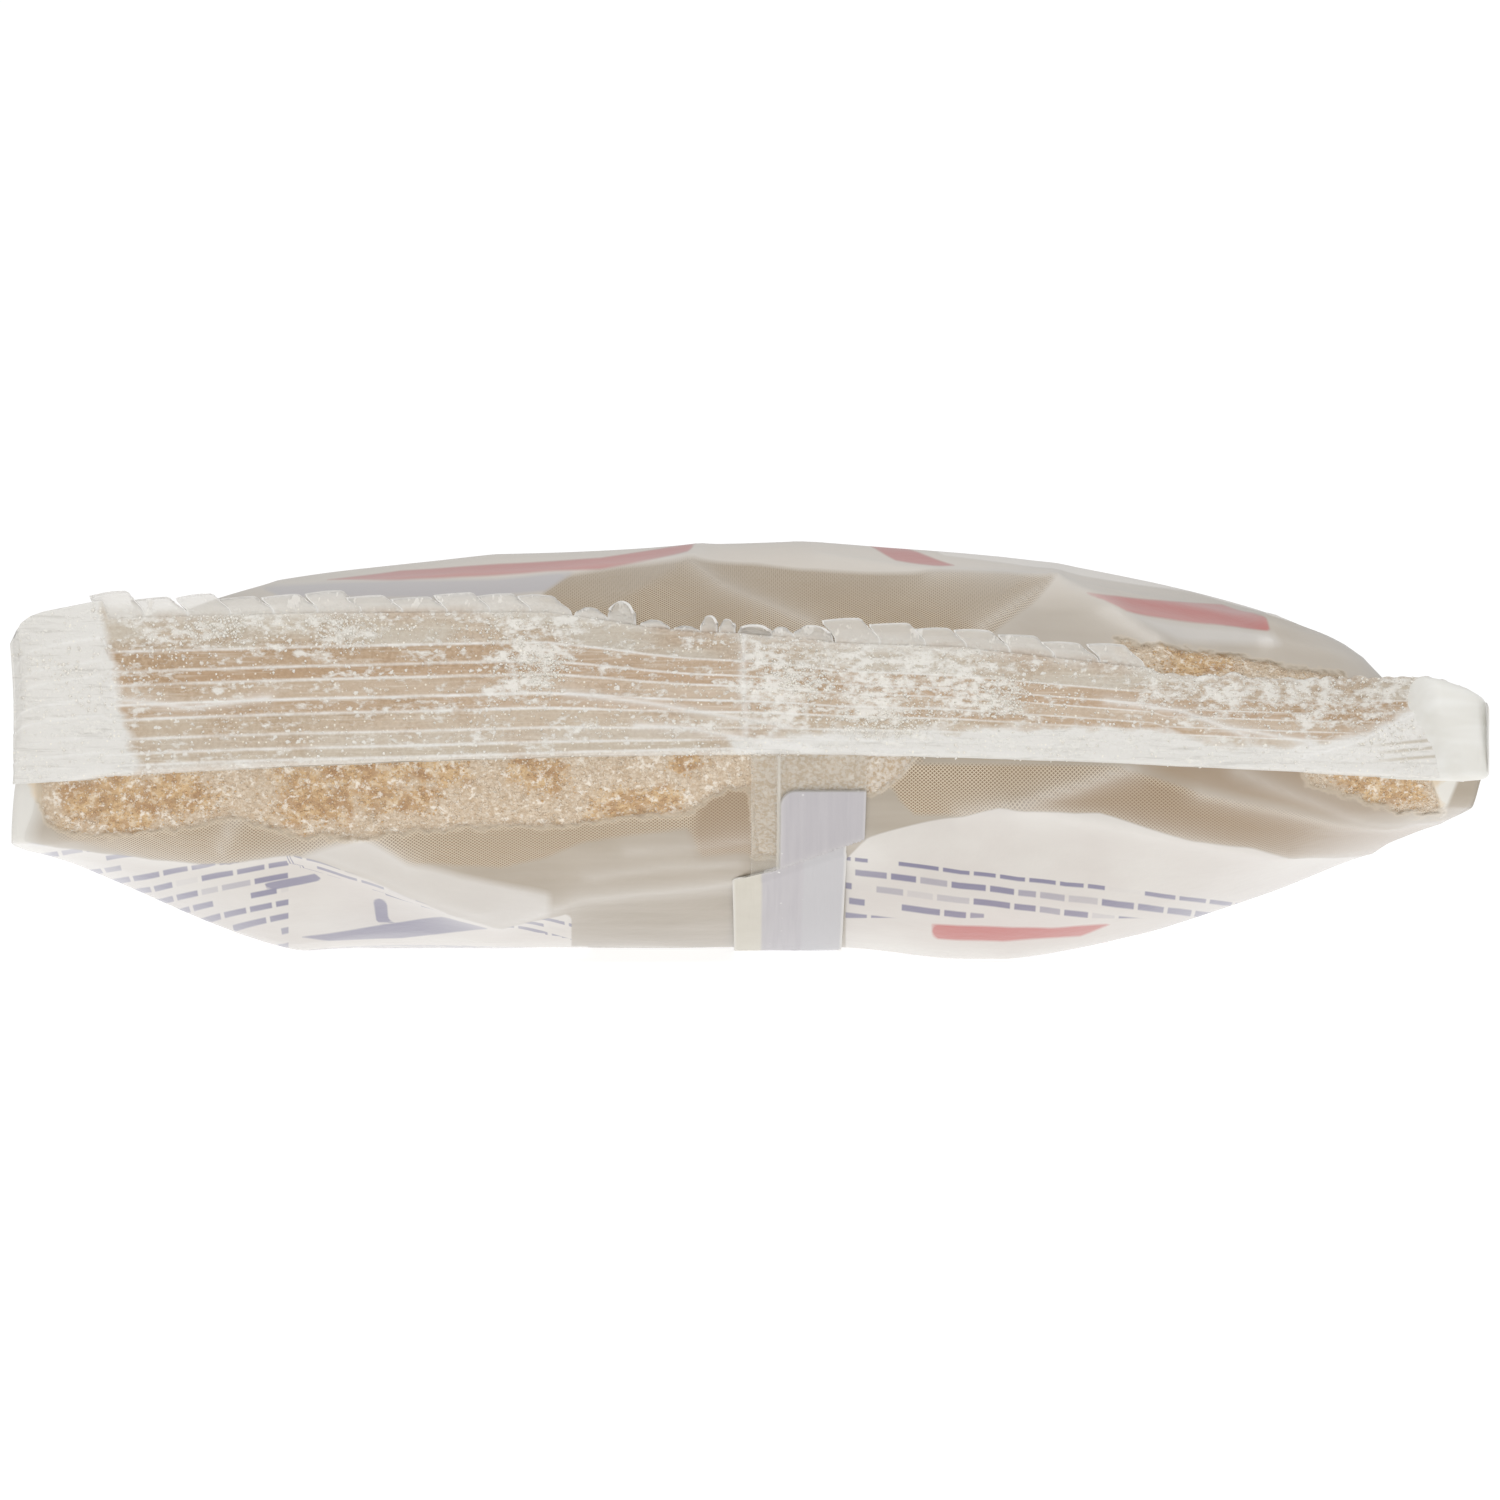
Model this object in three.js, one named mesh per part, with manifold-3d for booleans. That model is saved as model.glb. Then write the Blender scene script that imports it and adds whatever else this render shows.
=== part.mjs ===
// A full pillow bag of breadcrumbs, lying on its back with its printed front up.
// Both crimped end seals are folded up against the ends of the bag, and a lap seam runs along the back.
// Millimetres, +Z up. X goes across the bag, Y along it, and the near seal faces -Y.
import * as THREE from 'three';
import { mergeVertices } from 'three/addons/utils/BufferGeometryUtils.js';
import Module from 'manifold-3d';

const { clamp, lerp, smoothstep } = THREE.MathUtils;

// The bag
const sealHalf = 75;            // half the width of the flat film tube, as at the seals
const bodyHalf = 103;           // from the middle of the bag to the fold line of each seal
const shoulderLength = 41;      // over which the bag swells from a seal to its full section
const shoulderPower = 1.6;      // 1 would be a straight wedge, 2 a quarter of an ellipse
const crownHeight = 44.2;       // the highest line of the filled bag
const crownX = 5;               // where that line runs
const girthSteps = 68;
const lengthSteps = 28;
const shoulderShare = 0.7;      // share of the lengthwise steps that the two shoulders take

// Its section to the left and right of the crown
const sides = {
  left: {
    half: 72,                   // half width of the full section
    swell: 1.8,                 // how far the shoulders swell past that
    crease: 11,                 // height of the side crease
    topPower: 3.9,              // how squarely the top turns down into it
    topFall: 2.2,
    flat: 0.66,                 // share of the back that lies flat
    facetPower: 1.15,           // how hollow the facet beside it is
    sag: 7.6,                   // how far the crease hangs down in the shoulders
  },
  right: {
    half: 71,
    swell: 0.6,
    crease: 14,
    topPower: 2.7,
    topFall: 2.3,
    flat: 0.37,
    facetPower: 1.5,
    sag: 3,
  },
};
const sagStart = 0.02;          // share of the opening where the side creases start to sag
const sagDeep = 0.3;            // share of the opening where they are lowest
const endOpening = 0.03;        // what is left open at the fold line, inside the seal
const cornerInset = 0.6;        // how far inside the seal's corners the bag's own corners lie

// The near end of the back rises a little, left of here.
const lift = { height: 1.3, length: 75, from: 8, to: 22, fade: 12 };

// Broad folds in the shoulders, seen from the end: x and z of both ends, and how far a fold stands proud
const foldReach = 4.2;
const frontFolds = [
  { from: [-6, 42], to: [-14, 36.5], rise: 1.0 },
  { from: [30.5, 40], to: [22.5, 34.5], rise: 1.1 },
  { from: [30.5, 40], to: [42, 33], rise: 1.3 },
  { from: [35.5, 38.5], to: [54, 34.5], rise: 0.9 },
];
const backFolds = [
  { from: [-46, 11.5], to: [-28, 5], rise: 1.1 },
  { from: [-40, 13.5], to: [-20, 6], rise: 0.9 },
  { from: [0.5, 8.5], to: [12, 12.8], rise: 0.9 },
  { from: [24, 15.5], to: [38, 20], rise: 1.0 },
  { from: [27, 16.5], to: [55, 11], rise: 1.0 },
  { from: [-53, 14.8], to: [-46, 11.5], rise: -0.9 },
];

// The seals
const rootHeight = 22.2;        // the fold line of a seal, at the middle of the bag
const rootDrop = 2.8;           // how much lower it is at the corners
const seal = {
  hem: 0.9,                     // how far it reaches below the fold line
  top: 37.2,                    // its cut edge at the left, which drops in two stages towards the right
  firstDrop: { by: 2.7, from: -25, to: -15 },
  secondDrop: { by: 5.4, from: 12, to: 66 },
  leftLean: 2.2,                // how far back the cut edge lies at the free left end
  rightLean: 12.5,              // and where it rests on the bag
  restsFrom: -66,
  restsTo: -10,
  thickness: 1.2,
  bite: 0.45,                   // how deep it presses into the bag behind it
  fusedDepth: 2.4,              // how deep it is joined to the bag where it lies on it
  freeGap: 1.6,                 // how far off the bag it stands before it is free of it
  ridges: 7,
  ridgeDepth: 0.32,
  columns: 22,
  cornerDrop: 1.5,              // the upper left corner is rounded off by this
  cornerLength: 3,
  edgeWave: 0.35,               // waviness of the short sides
  edgeBand: 5,
};
const columnWidth = 2 * sealHalf / seal.columns;

// The gathered right end of a seal
const bunch = {
  x: 71.1,
  width: 7.8,
  depth: 4.6,
  bottom: 18.9,
  top: 29.4,
  pleats: 8,
  pleatDepth: 0.45,
  square: 0.55,                 // 0 would be an egg shape, 1 a box
};

// The teeth of the cut edge
const tooth = {
  pitch: 4,
  height: 1.9,
  thickness: 0.7,
  slant: 0.28,                  // share of the pitch that its left edge slants over
  gap: 0.3,                     // between two teeth
  foot: 1.1,                    // how deep it stands in the band
  lean: 0.35,                   // how far back it leans, for its height
  proud: 0.9,                   // how far its face lies in front of the band's back
};
const firstTooth = -sealHalf + 9;
const lastTooth = bunch.x - bunch.width / 2 - 1;
const toothCount = Math.floor((lastTooth - firstTooth) / tooth.pitch);

// The lap seam on the back
const seam = { x: 3.8, width: 11.4, thickness: 0.5, bury: 1.1, pressed: 0.3 };

// ---- the filled film tube ----

function sealRoot(x) {
  return rootHeight - rootDrop * Math.abs(x / sealHalf) ** 1.6;
}

// Height of the full section's upper film, at a share of the half width from -1 to 1.
function fullTop(u) {
  const x = u * (u < 0 ? sides.left.half : sides.right.half);
  const side = x < crownX ? sides.left : sides.right;
  const run = x < crownX ? (crownX - x) / (crownX + side.half) : (x - crownX) / (side.half - crownX);
  const dome = (1 - Math.min(1, run) ** side.topPower) ** (1 / side.topPower);
  return side.crease + (crownHeight - side.topFall * run - side.crease) * dome;
}

function fullBack(u) {
  const side = u < 0 ? sides.left : sides.right;
  return side.crease * clamp((Math.abs(u) - side.flat) / (1 - side.flat), 0, 1) ** side.facetPower;
}

// Distance from the fold line at which the bag has reached a share of its full section.
function shoulderDepth(opening) {
  return shoulderLength * (1 - (1 - clamp(opening, 0, 1) ** shoulderPower) ** (1 / shoulderPower));
}

function foldRise(folds, x, z) {
  const point = new THREE.Vector3(x, 0, z);
  const nearest = new THREE.Vector3();
  let rise = 0;
  for (const { from, to, rise: height } of folds) {
    const start = new THREE.Vector3(from[0], 0, from[1]);
    const finish = new THREE.Vector3(to[0], 0, to[1]);
    new THREE.Line3(start, finish).closestPointToPoint(point, true, nearest);
    rise += height * Math.max(0, 1 - nearest.distanceTo(point) / foldReach) ** 1.5;
  }
  return rise;
}

function backLift(x, y, z) {
  const across = (1 - smoothstep(x, lift.from, lift.to)) * smoothstep(x, -0.8 * sealHalf, -0.5 * sealHalf);
  const flatEnd = bodyHalf - shoulderLength;
  return lift.height * across * smoothstep(-y, flatEnd - lift.length, flatEnd) * clamp(1 - z / lift.fade, 0, 1);
}

// A point of the film: across from -1 to 1, and along from -1 at the near fold line to 1 at the far one.
function filmPoint(u, along, onFront) {
  const end = along < 0 ? -1 : 1;
  const toEnd = (1 - Math.abs(along)) / shoulderShare;
  const opening = lerp(endOpening, 1, Math.sin(Math.min(1, toEnd) * Math.PI / 2));
  const side = u < 0 ? sides.left : sides.right;
  const swell = side.swell * 4 * opening * (1 - opening);
  const x = u * (lerp(sealHalf - cornerInset, side.half, opening ** 2.2) + swell);
  const sag = side.sag * smoothstep(opening, sagStart, sagDeep) * (1 - opening) * Math.abs(u) ** 3;
  let z = lerp(sealRoot(x), onFront ? fullTop(u) : fullBack(u), opening) - sag;
  const onShoulder = Math.min(1, 5.6 * opening * (1 - opening));
  const rise = 0.7 * onShoulder * foldRise(onFront ? frontFolds : backFolds, -end * x, z);
  z = Math.max(0, z + rise * (onFront ? opening : -opening));
  let y = end * (bodyHalf - shoulderDepth(opening) + rise);
  if (toEnd > 1) y = (bodyHalf - shoulderLength) * along / (1 - shoulderShare);
  if (!onFront) z += backLift(x, y, z);
  return { point: new THREE.Vector3(x, y, z), end, opening };
}

function bodyGeometry() {
  const geometry = new THREE.CylinderGeometry(1, 1, 2, girthSteps, lengthSteps, false);
  const position = geometry.attributes.position;
  for (let i = 0; i < position.count; i += 1) {
    const ring = new THREE.Vector2(position.getX(i), position.getZ(i));
    const onRim = ring.length() > 0.5;
    const { point } = filmPoint(onRim ? ring.x / ring.length() : 0, position.getY(i), ring.y >= 0);
    if (!onRim) point.z = sealRoot(0);
    position.setXYZ(i, point.x, point.y, point.z);
  }
  return geometry;
}

// The lap seam: a flat strip along the middle of the back, up both shoulders to the seals.
function seamGeometry() {
  const geometry = new THREE.BoxGeometry(seam.width, 2, 1, 2, lengthSteps, 1);
  const position = geometry.attributes.position;
  for (let i = 0; i < position.count; i += 1) {
    const x = seam.x + position.getX(i);
    const { point, end, opening } = filmPoint(x / sealHalf, position.getY(i), false);
    const outward = position.getZ(i) < 0 ? seam.thickness : -seam.bury;
    const lowest = seam.pressed + seam.thickness - outward;
    const z = Math.max(lowest, point.z - outward * opening);
    position.setXYZ(i, x, point.y + end * outward * (1 - opening), z);
  }
  return geometry;
}

// ---- the seals ----

function sealTop(x) {
  const { top, firstDrop, secondDrop } = seal;
  return top - firstDrop.by * smoothstep(x, firstDrop.from, firstDrop.to)
    - secondDrop.by * smoothstep(x, secondDrop.from, secondDrop.to);
}

// How far behind the fold line the film of the upper shoulder lies at a height.
function shoulderBehind(x, z) {
  const opening = (z - sealRoot(x)) / (fullTop(clamp(x / sealHalf, -1, 1)) - sealRoot(x));
  return shoulderDepth(clamp(opening, 0, 0.98));
}

// How far behind it the folded seal lies, which rests on the shoulder where it can.
function sealLean(x, z) {
  const leaning = lerp(seal.leftLean, seal.rightLean, smoothstep(x, seal.restsFrom, seal.restsTo));
  const straight = leaning * (z - sealRoot(x)) / (sealTop(x) - sealRoot(x));
  return Math.max(0, Math.min(shoulderBehind(x, z), straight));
}

// A point of the folded seal: rise from 0 at its hem to 1 at its cut edge.
function sealPoint(x, rise, outward, end) {
  const z = lerp(sealRoot(x) - seal.hem, sealTop(x), rise);
  return new THREE.Vector3(x, end * (bodyHalf - sealLean(x, z) - seal.bite + outward), z);
}

// The crimped band: a thin box with rows of ridges, bent to the folded seal's surface.
function sealGeometry(end) {
  const rows = seal.ridges * 2;
  const geometry = new THREE.BoxGeometry(2 * sealHalf, 2, 1, seal.columns, 1, rows);
  const position = geometry.attributes.position;
  for (let i = 0; i < position.count; i += 1) {
    const x = position.getX(i);
    const rise = position.getZ(i) + 0.5;
    const row = Math.round(rise * rows);
    const isOutside = position.getY(i) * end > 0;
    const ridge = row % 2 === 1 ? seal.ridgeDepth : 0;
    const point = sealPoint(x, rise, isOutside ? seal.thickness + ridge : 0, end);
    const gap = shoulderBehind(x, point.z) - sealLean(x, point.z);
    if (!isOutside) point.y -= end * seal.fusedDepth * (1 - smoothstep(gap, 0, seal.freeGap));
    const atSide = smoothstep(Math.abs(x), sealHalf - seal.edgeBand, sealHalf);
    point.x -= Math.sign(x) * seal.edgeWave * Math.sin(rise * Math.PI) * atSide;
    if (row === rows) point.z -= seal.cornerDrop * smoothstep(-x, sealHalf - seal.cornerLength, sealHalf);
    position.setXYZ(i, point.x, point.y, point.z);
  }
  return geometry;
}

// One tooth of the cut edge: a thin slanted tab that stands in the upper edge of the band.
function toothGeometry(start, height, end) {
  const outline = new THREE.Shape();
  outline.moveTo(tooth.gap / 2, -tooth.foot);
  outline.lineTo(tooth.gap / 2, 0);
  outline.lineTo(tooth.pitch * tooth.slant, height);
  outline.lineTo(tooth.pitch - tooth.gap, height * 0.8);
  outline.lineTo(tooth.pitch - tooth.gap / 2, -tooth.foot);
  const options = { depth: tooth.thickness, steps: 1, bevelEnabled: false };
  const geometry = new THREE.ExtrudeGeometry(outline, options);
  const column = Math.floor((start + tooth.pitch / 2 + sealHalf) / columnWidth);
  const left = sealPoint(column * columnWidth - sealHalf, 1, 0, end);
  const right = sealPoint((column + 1) * columnWidth - sealHalf, 1, 0, end);
  const position = geometry.attributes.position;
  for (let i = 0; i < position.count; i += 1) {
    const x = start + position.getX(i);
    const above = position.getY(i);
    const top = left.clone().lerp(right, (x - left.x) / columnWidth);
    const behind = tooth.thickness - position.getZ(i) - tooth.proud;
    position.setXYZ(i, x, top.y - end * (behind + tooth.lean * Math.max(0, above)), top.z + above);
  }
  return end < 0 ? geometry : turnedOut(geometry);
}

// The gathered corner of the seal: a rounded lump with upright pleats.
function bunchGeometry(end) {
  const geometry = new THREE.SphereGeometry(0.5, 16, 8);
  const position = geometry.attributes.position;
  for (let i = 0; i < position.count; i += 1) {
    const unit = new THREE.Vector3(position.getX(i), position.getZ(i), -position.getY(i));
    const largest = Math.max(Math.abs(unit.x), Math.abs(unit.y), Math.abs(unit.z));
    unit.multiplyScalar(lerp(1, 0.5 / largest, bunch.square));
    const pleat = bunch.pleatDepth * Math.cos(unit.x * bunch.pleats * Math.PI);
    const x = bunch.x + unit.x * bunch.width;
    const y = end * (bodyHalf + bunch.pleatDepth) + unit.y * (bunch.depth + pleat);
    position.setXYZ(i, x, y, (bunch.top + bunch.bottom) / 2 + unit.z * (bunch.top - bunch.bottom));
  }
  return geometry;
}

// ---- joining ----

// A geometry that was mirrored gets its triangles turned round again.
function turnedOut(geometry) {
  const indexed = mergeVertices(geometry.deleteAttribute('normal').deleteAttribute('uv'), 1e-4);
  return indexed.setIndex(Array.from(indexed.index.array).reverse());
}

const wasm = await Module();
wasm.setup();

function toManifold(geometry) {
  geometry.deleteAttribute('normal');
  geometry.deleteAttribute('uv');
  const merged = mergeVertices(geometry, 1e-4);
  return new wasm.Manifold(new wasm.Mesh({
    numProp: 3,
    vertProperties: Float32Array.from(merged.attributes.position.array),
    triVerts: Uint32Array.from(merged.index.array),
  }));
}

function toGeometry(manifold) {
  const mesh = manifold.getMesh();
  const geometry = new THREE.BufferGeometry();
  geometry.setAttribute('position', new THREE.BufferAttribute(mesh.vertProperties, 3));
  return geometry.setIndex(new THREE.BufferAttribute(mesh.triVerts, 1));
}

let bag = toManifold(bodyGeometry()).add(toManifold(seamGeometry()));
for (const end of [-1, 1]) {
  bag = bag.add(toManifold(sealGeometry(end))).add(toManifold(bunchGeometry(end)));
  for (let k = 0; k < toothCount; k += 1) {
    const height = tooth.height * (0.75 + 0.25 * Math.sin(k * 2.4));
    bag = bag.add(toManifold(toothGeometry(firstTooth + k * tooth.pitch, height, end)));
  }
}

// Small hollows closed in between a seal and the bag are filled: only the outermost shell is kept.
const shells = bag.decompose().sort((a, b) => b.volume() - a.volume());

// The origin is under the middle of the bag's box.
const bagGeometry = toGeometry(shells[0]);
bagGeometry.computeBoundingBox();
const box = bagGeometry.boundingBox;
const middle = box.getCenter(new THREE.Vector3());
bagGeometry.translate(-middle.x, -middle.y, -box.min.z);

const film = new THREE.MeshStandardMaterial({ color: 0xd2c4ae, roughness: 0.32, metalness: 0 });
const bagMesh = new THREE.Mesh(bagGeometry, film);
bagMesh.name = 'breadcrumb_bag';

const group = new THREE.Group();
group.add(bagMesh);
export default group;
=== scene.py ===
# A full bag of breadcrumbs in see-through printed film, lying on its back and seen from its near end.
import math
import bpy
import numpy as np
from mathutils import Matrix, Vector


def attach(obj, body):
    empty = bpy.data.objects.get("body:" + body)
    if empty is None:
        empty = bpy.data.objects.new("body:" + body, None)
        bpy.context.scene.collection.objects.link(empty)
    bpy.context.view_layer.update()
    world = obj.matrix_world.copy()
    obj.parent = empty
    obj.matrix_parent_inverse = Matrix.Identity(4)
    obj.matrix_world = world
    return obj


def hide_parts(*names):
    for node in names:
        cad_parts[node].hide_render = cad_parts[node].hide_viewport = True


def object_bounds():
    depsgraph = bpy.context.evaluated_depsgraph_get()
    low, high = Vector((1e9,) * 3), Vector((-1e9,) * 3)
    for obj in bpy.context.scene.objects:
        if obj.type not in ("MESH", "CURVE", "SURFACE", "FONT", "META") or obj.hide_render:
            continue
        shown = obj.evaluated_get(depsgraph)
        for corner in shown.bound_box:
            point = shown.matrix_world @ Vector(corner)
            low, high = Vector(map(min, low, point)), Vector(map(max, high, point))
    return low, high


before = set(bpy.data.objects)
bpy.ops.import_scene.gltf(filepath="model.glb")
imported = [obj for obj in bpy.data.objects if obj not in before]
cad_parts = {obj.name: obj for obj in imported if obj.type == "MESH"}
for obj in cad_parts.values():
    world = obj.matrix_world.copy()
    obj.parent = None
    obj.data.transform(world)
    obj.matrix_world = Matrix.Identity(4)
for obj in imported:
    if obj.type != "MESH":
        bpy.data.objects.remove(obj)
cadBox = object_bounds()
bpy.ops.object.select_all(action="DESELECT")
print("frame loaded")

mm = 0.001  # sizes are in millimetres until a mesh is made
chartScale = 0.01  # units of a piece's own map to a millimetre
farOutside = -50.0  # depth of a point that lies in none of a field's outlines

# The bag's own sizes, as in the solid that the pieces replace
bag = {
    "sealHalf": 75,
    "bodyHalf": 103,
    "shoulderLength": 41,
    "shoulderPower": 1.6,
    "crownHeight": 43.9,
    "rowClimb": 22,         # height over which the rows of a shoulder are spaced
    "crownX": 5,
    "sagStart": 0.02,
    "sagDeep": 0.3,
    "endOpening": 0.03,
    "cornerInset": 0.6,
    "rootHeight": 22.2,
    "rootDrop": 2.8,
    "liftHeight": 1.3,
    "liftLength": 75,
    "liftFrom": 8,
    "liftTo": 22,
    "liftFade": 12,
}
leftSide = {
    "half": 72, "swell": 1.4, "crease": 11, "topPower": 3.9,
    "topFall": 2.7, "flat": 0.66, "facetPower": 1.15, "sag": 6.2,
}
rightSide = {
    "half": 71, "swell": -0.9, "crease": 14, "topPower": 3.0,
    "topFall": 4.2, "flat": 0.37, "facetPower": 1.5, "sag": 2.6,
}
# Broad folds of the shoulders, seen from the end: x and z of both ends, and how far each stands proud
foldReach = 4.2
frontFolds = [
    ((-6, 42), (-14, 36.5), 1.0),
    ((30.5, 40), (22.5, 34.5), 1.1),
    ((30.5, 40), (42, 33), 1.3),
    ((35.5, 38.5), (54, 34.5), 0.9),
    ((54, 34.2), (69, 29.8), 4.0),
]
backFolds = [
    ((-46, 11.5), (-28, 5), 1.1),
    ((-40, 13.5), (-20, 6), 0.9),
    ((0.5, 8.5), (12, 12.8), 0.9),
    ((24, 15.5), (38, 20), 1.0),
    ((27, 16.5), (55, 11), 1.0),
    ((-53, 14.8), (-46, 11.5), -0.9),
]
seal = {
    "hem": 0.9,
    "top": 37.2,
    "firstDrop": (2.7, -25, -15),
    "secondDrop": (5.4, 12, 66),
    "leftLean": 2.2,
    "rightLean": 12.5,
    "restsFrom": -66,
    "restsTo": -10,
    "bite": 0.45,
}
gather = {"x": 71.1, "width": 7.8, "depth": 4.6}
lens = {"away": 1100, "behind": 104, "height": 22, "x": 0.3, "pixelsPerMm": 9.85}

shiftX = cadBox[1].x / mm - gather["x"] - gather["width"] / 2  # the solid's origin is under its middle
flatEnd = bag["bodyHalf"] - bag["shoulderLength"]  # where the shoulders begin, along the bag
frontAbove = 25  # what is seen higher than this from the near end lies on the front


def smooth(low, high, value):
    t = np.clip((value - low) / (high - low), 0, 1)
    return t * t * (3 - 2 * t)


def mix(a, b, t):
    return a + (b - a) * t


# A smooth random height between about -1 and 1, from waves in all directions
def waves(x, y, seed, slowest, fastest, count=14):
    draw = np.random.default_rng(seed)
    height = np.zeros(np.broadcast(x, y).shape)
    for _ in range(count):
        turn = draw.uniform(0, math.pi)
        speed = draw.uniform(slowest, fastest)
        height += np.sin(speed * (math.cos(turn) * x + math.sin(turn) * y) + draw.uniform(0, 6.3))
    return height / math.sqrt(count)


def lineDistance(x, z, line):
    nearest = np.full(np.broadcast(x, z).shape, 1e6)
    for (ax, az), (bx, bz) in zip(line, line[1:]):
        dx, dz = bx - ax, bz - az
        t = np.clip(((x - ax) * dx + (z - az) * dz) / (dx * dx + dz * dz), 0, 1)
        nearest = np.minimum(nearest, np.hypot(x - ax - t * dx, z - az - t * dz))
    return nearest


# How far inside an outline each point lies, and less than 0 outside it
def outlineDepth(x, z, outline):
    closed = outline + outline[:1]
    inside = np.zeros(np.broadcast(x, z).shape, bool)
    for (ax, az), (bx, bz) in zip(closed, closed[1:]):
        crosses = (az > z) != (bz > z)
        inside ^= crosses & (x < ax + (z - az) / (bz - az or 1e-9) * (bx - ax))
    return lineDistance(x, z, closed) * np.where(inside, 1, -1)


def insideAny(x, z, outlines):
    depth = np.full(np.broadcast(x, z).shape, farOutside)
    for outline in outlines:
        depth = np.maximum(depth, outlineDepth(x, z, outline))
    return depth


def boxDepth(x, y, low, high, corner=0.0):
    halfX, halfY = (high[0] - low[0]) / 2 - corner, (high[1] - low[1]) / 2 - corner
    outX = np.abs(x - (low[0] + high[0]) / 2) - halfX
    outY = np.abs(y - (low[1] + high[1]) / 2) - halfY
    outside = np.hypot(np.maximum(outX, 0), np.maximum(outY, 0))
    return corner - outside - np.minimum(np.maximum(outX, outY), 0)


def boxesDepth(x, y, boxes, corner=0.0):
    return np.max([boxDepth(x, y, low, high, corner) for low, high in boxes], axis=0)


def ovalDepth(x, y, middle, radii):
    nx, ny = (x - middle[0]) / radii[0], (y - middle[1]) / radii[1]
    reach = np.hypot(nx, ny)
    slope = np.hypot(nx / radii[0], ny / radii[1]) + 1e-9
    return (1 - reach) * reach / slope


# The filled film tube follows the solid's rules
def bySide(onLeft, key):
    return np.where(onLeft, leftSide[key], rightSide[key])


def sealRoot(x):
    return bag["rootHeight"] - bag["rootDrop"] * np.abs(x / bag["sealHalf"]) ** 1.6


def fullTop(u):
    x = u * bySide(u < 0, "half")
    onLeft = x < bag["crownX"]
    span = np.where(onLeft, bag["crownX"] + leftSide["half"], rightSide["half"] - bag["crownX"])
    run = np.clip(np.abs(x - bag["crownX"]) / span, 0, 1)
    power = bySide(onLeft, "topPower")
    crease = bySide(onLeft, "crease")
    dome = (1 - run ** power) ** (1 / power)
    return crease + (bag["crownHeight"] - bySide(onLeft, "topFall") * run - crease) * dome


def fullBack(u):
    flat = bySide(u < 0, "flat")
    share = np.clip((np.abs(u) - flat) / (1 - flat), 0, 1)
    return bySide(u < 0, "crease") * share ** bySide(u < 0, "facetPower")


def shoulderDepth(opening):
    power = bag["shoulderPower"]
    return bag["shoulderLength"] * (1 - (1 - np.clip(opening, 0, 1) ** power) ** (1 / power))


def foldRise(folds, x, z):
    rise = np.zeros(np.broadcast(x, z).shape)
    for start, finish, height in folds:
        near = np.maximum(0, 1 - lineDistance(x, z, [start, finish]) / foldReach)
        rise += height * near ** 1.5
    return rise


# Points of the film: across from -1 to 1; end is -1 or 1; toEnd is 0 at the fold line and 1 where the shoulder ends
def shoulderPoints(u, end, toEnd, onFront):
    opening = mix(bag["endOpening"], 1, np.sin(np.minimum(1, toEnd) * math.pi / 2))
    swell = bySide(u < 0, "swell") * 4 * opening * (1 - opening)
    x = u * (mix(bag["sealHalf"] - bag["cornerInset"], bySide(u < 0, "half"), opening ** 2.2) + swell)
    sag = bySide(u < 0, "sag") * smooth(bag["sagStart"], bag["sagDeep"], opening) * (1 - opening) * np.abs(u) ** 3
    full = np.where(onFront, fullTop(u), fullBack(u))
    z = mix(sealRoot(x), full, opening) - sag
    onShoulder = np.minimum(1, 5.6 * opening * (1 - opening))
    rise = np.where(onFront, foldRise(frontFolds, -end * x, z), foldRise(backFolds, -end * x, z))
    rise = 0.7 * onShoulder * rise
    z = np.maximum(0, z + rise * np.where(onFront, opening, -opening))
    y = end * (bag["bodyHalf"] - shoulderDepth(opening) + rise)
    return x, y, z


# The flat back rises a little towards the near shoulder
def backLift(x, y, z):
    fromSide = smooth(-0.8 * bag["sealHalf"], -0.5 * bag["sealHalf"], x)
    across = (1 - smooth(bag["liftFrom"], bag["liftTo"], x)) * fromSide
    away = smooth(flatEnd - bag["liftLength"], flatEnd, -y)
    return bag["liftHeight"] * across * away * np.clip(1 - z / bag["liftFade"], 0, 1)


def filmPoints(u, row, onFront):
    end, toEnd, flatY = row
    x, y, z = shoulderPoints(u, end, toEnd, onFront)
    y = np.where(toEnd >= 1, flatY, y)
    z = z + np.where(onFront, 0, backLift(x, y, z))
    return np.stack([x, y, z], -1)


# Shares across the bag that lie evenly along its full section
def girthShares(count, height):
    s = np.linspace(-1, 1, 6001)
    u = np.sin(np.sin(s * math.pi / 2) * math.pi / 2)
    x = u * bySide(u < 0, "half")
    run = np.concatenate([[0], np.cumsum(np.hypot(np.diff(x), np.diff(height(u))))])
    return np.interp(np.linspace(0, run[-1], count + 1), run, u)


# Rows of the film from the near fold line to the far one: which end, share of its shoulder, and y on the flat
def lengthRows(near, flat, far):
    toEnd = np.linspace(0, 1, 2001)
    opening = mix(bag["endOpening"], 1, np.sin(toEnd * math.pi / 2))
    climb = opening * bag["rowClimb"]
    run = np.concatenate([[0], np.cumsum(np.hypot(np.diff(shoulderDepth(opening)), np.diff(climb)))])
    rows = [(-1, share, -flatEnd) for share in np.interp(np.linspace(0, run[-1], near + 1), run, toEnd)]
    rows += [(-1, 1.0, y) for y in np.linspace(-flatEnd, flatEnd, flat + 1)[1:-1]]
    rows += [(1, share, flatEnd) for share in np.interp(np.linspace(run[-1], 0, far + 1), run, toEnd)]
    ends, shares, flats = (np.array(part)[:, None] for part in zip(*rows))
    return ends, shares, flats


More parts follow.
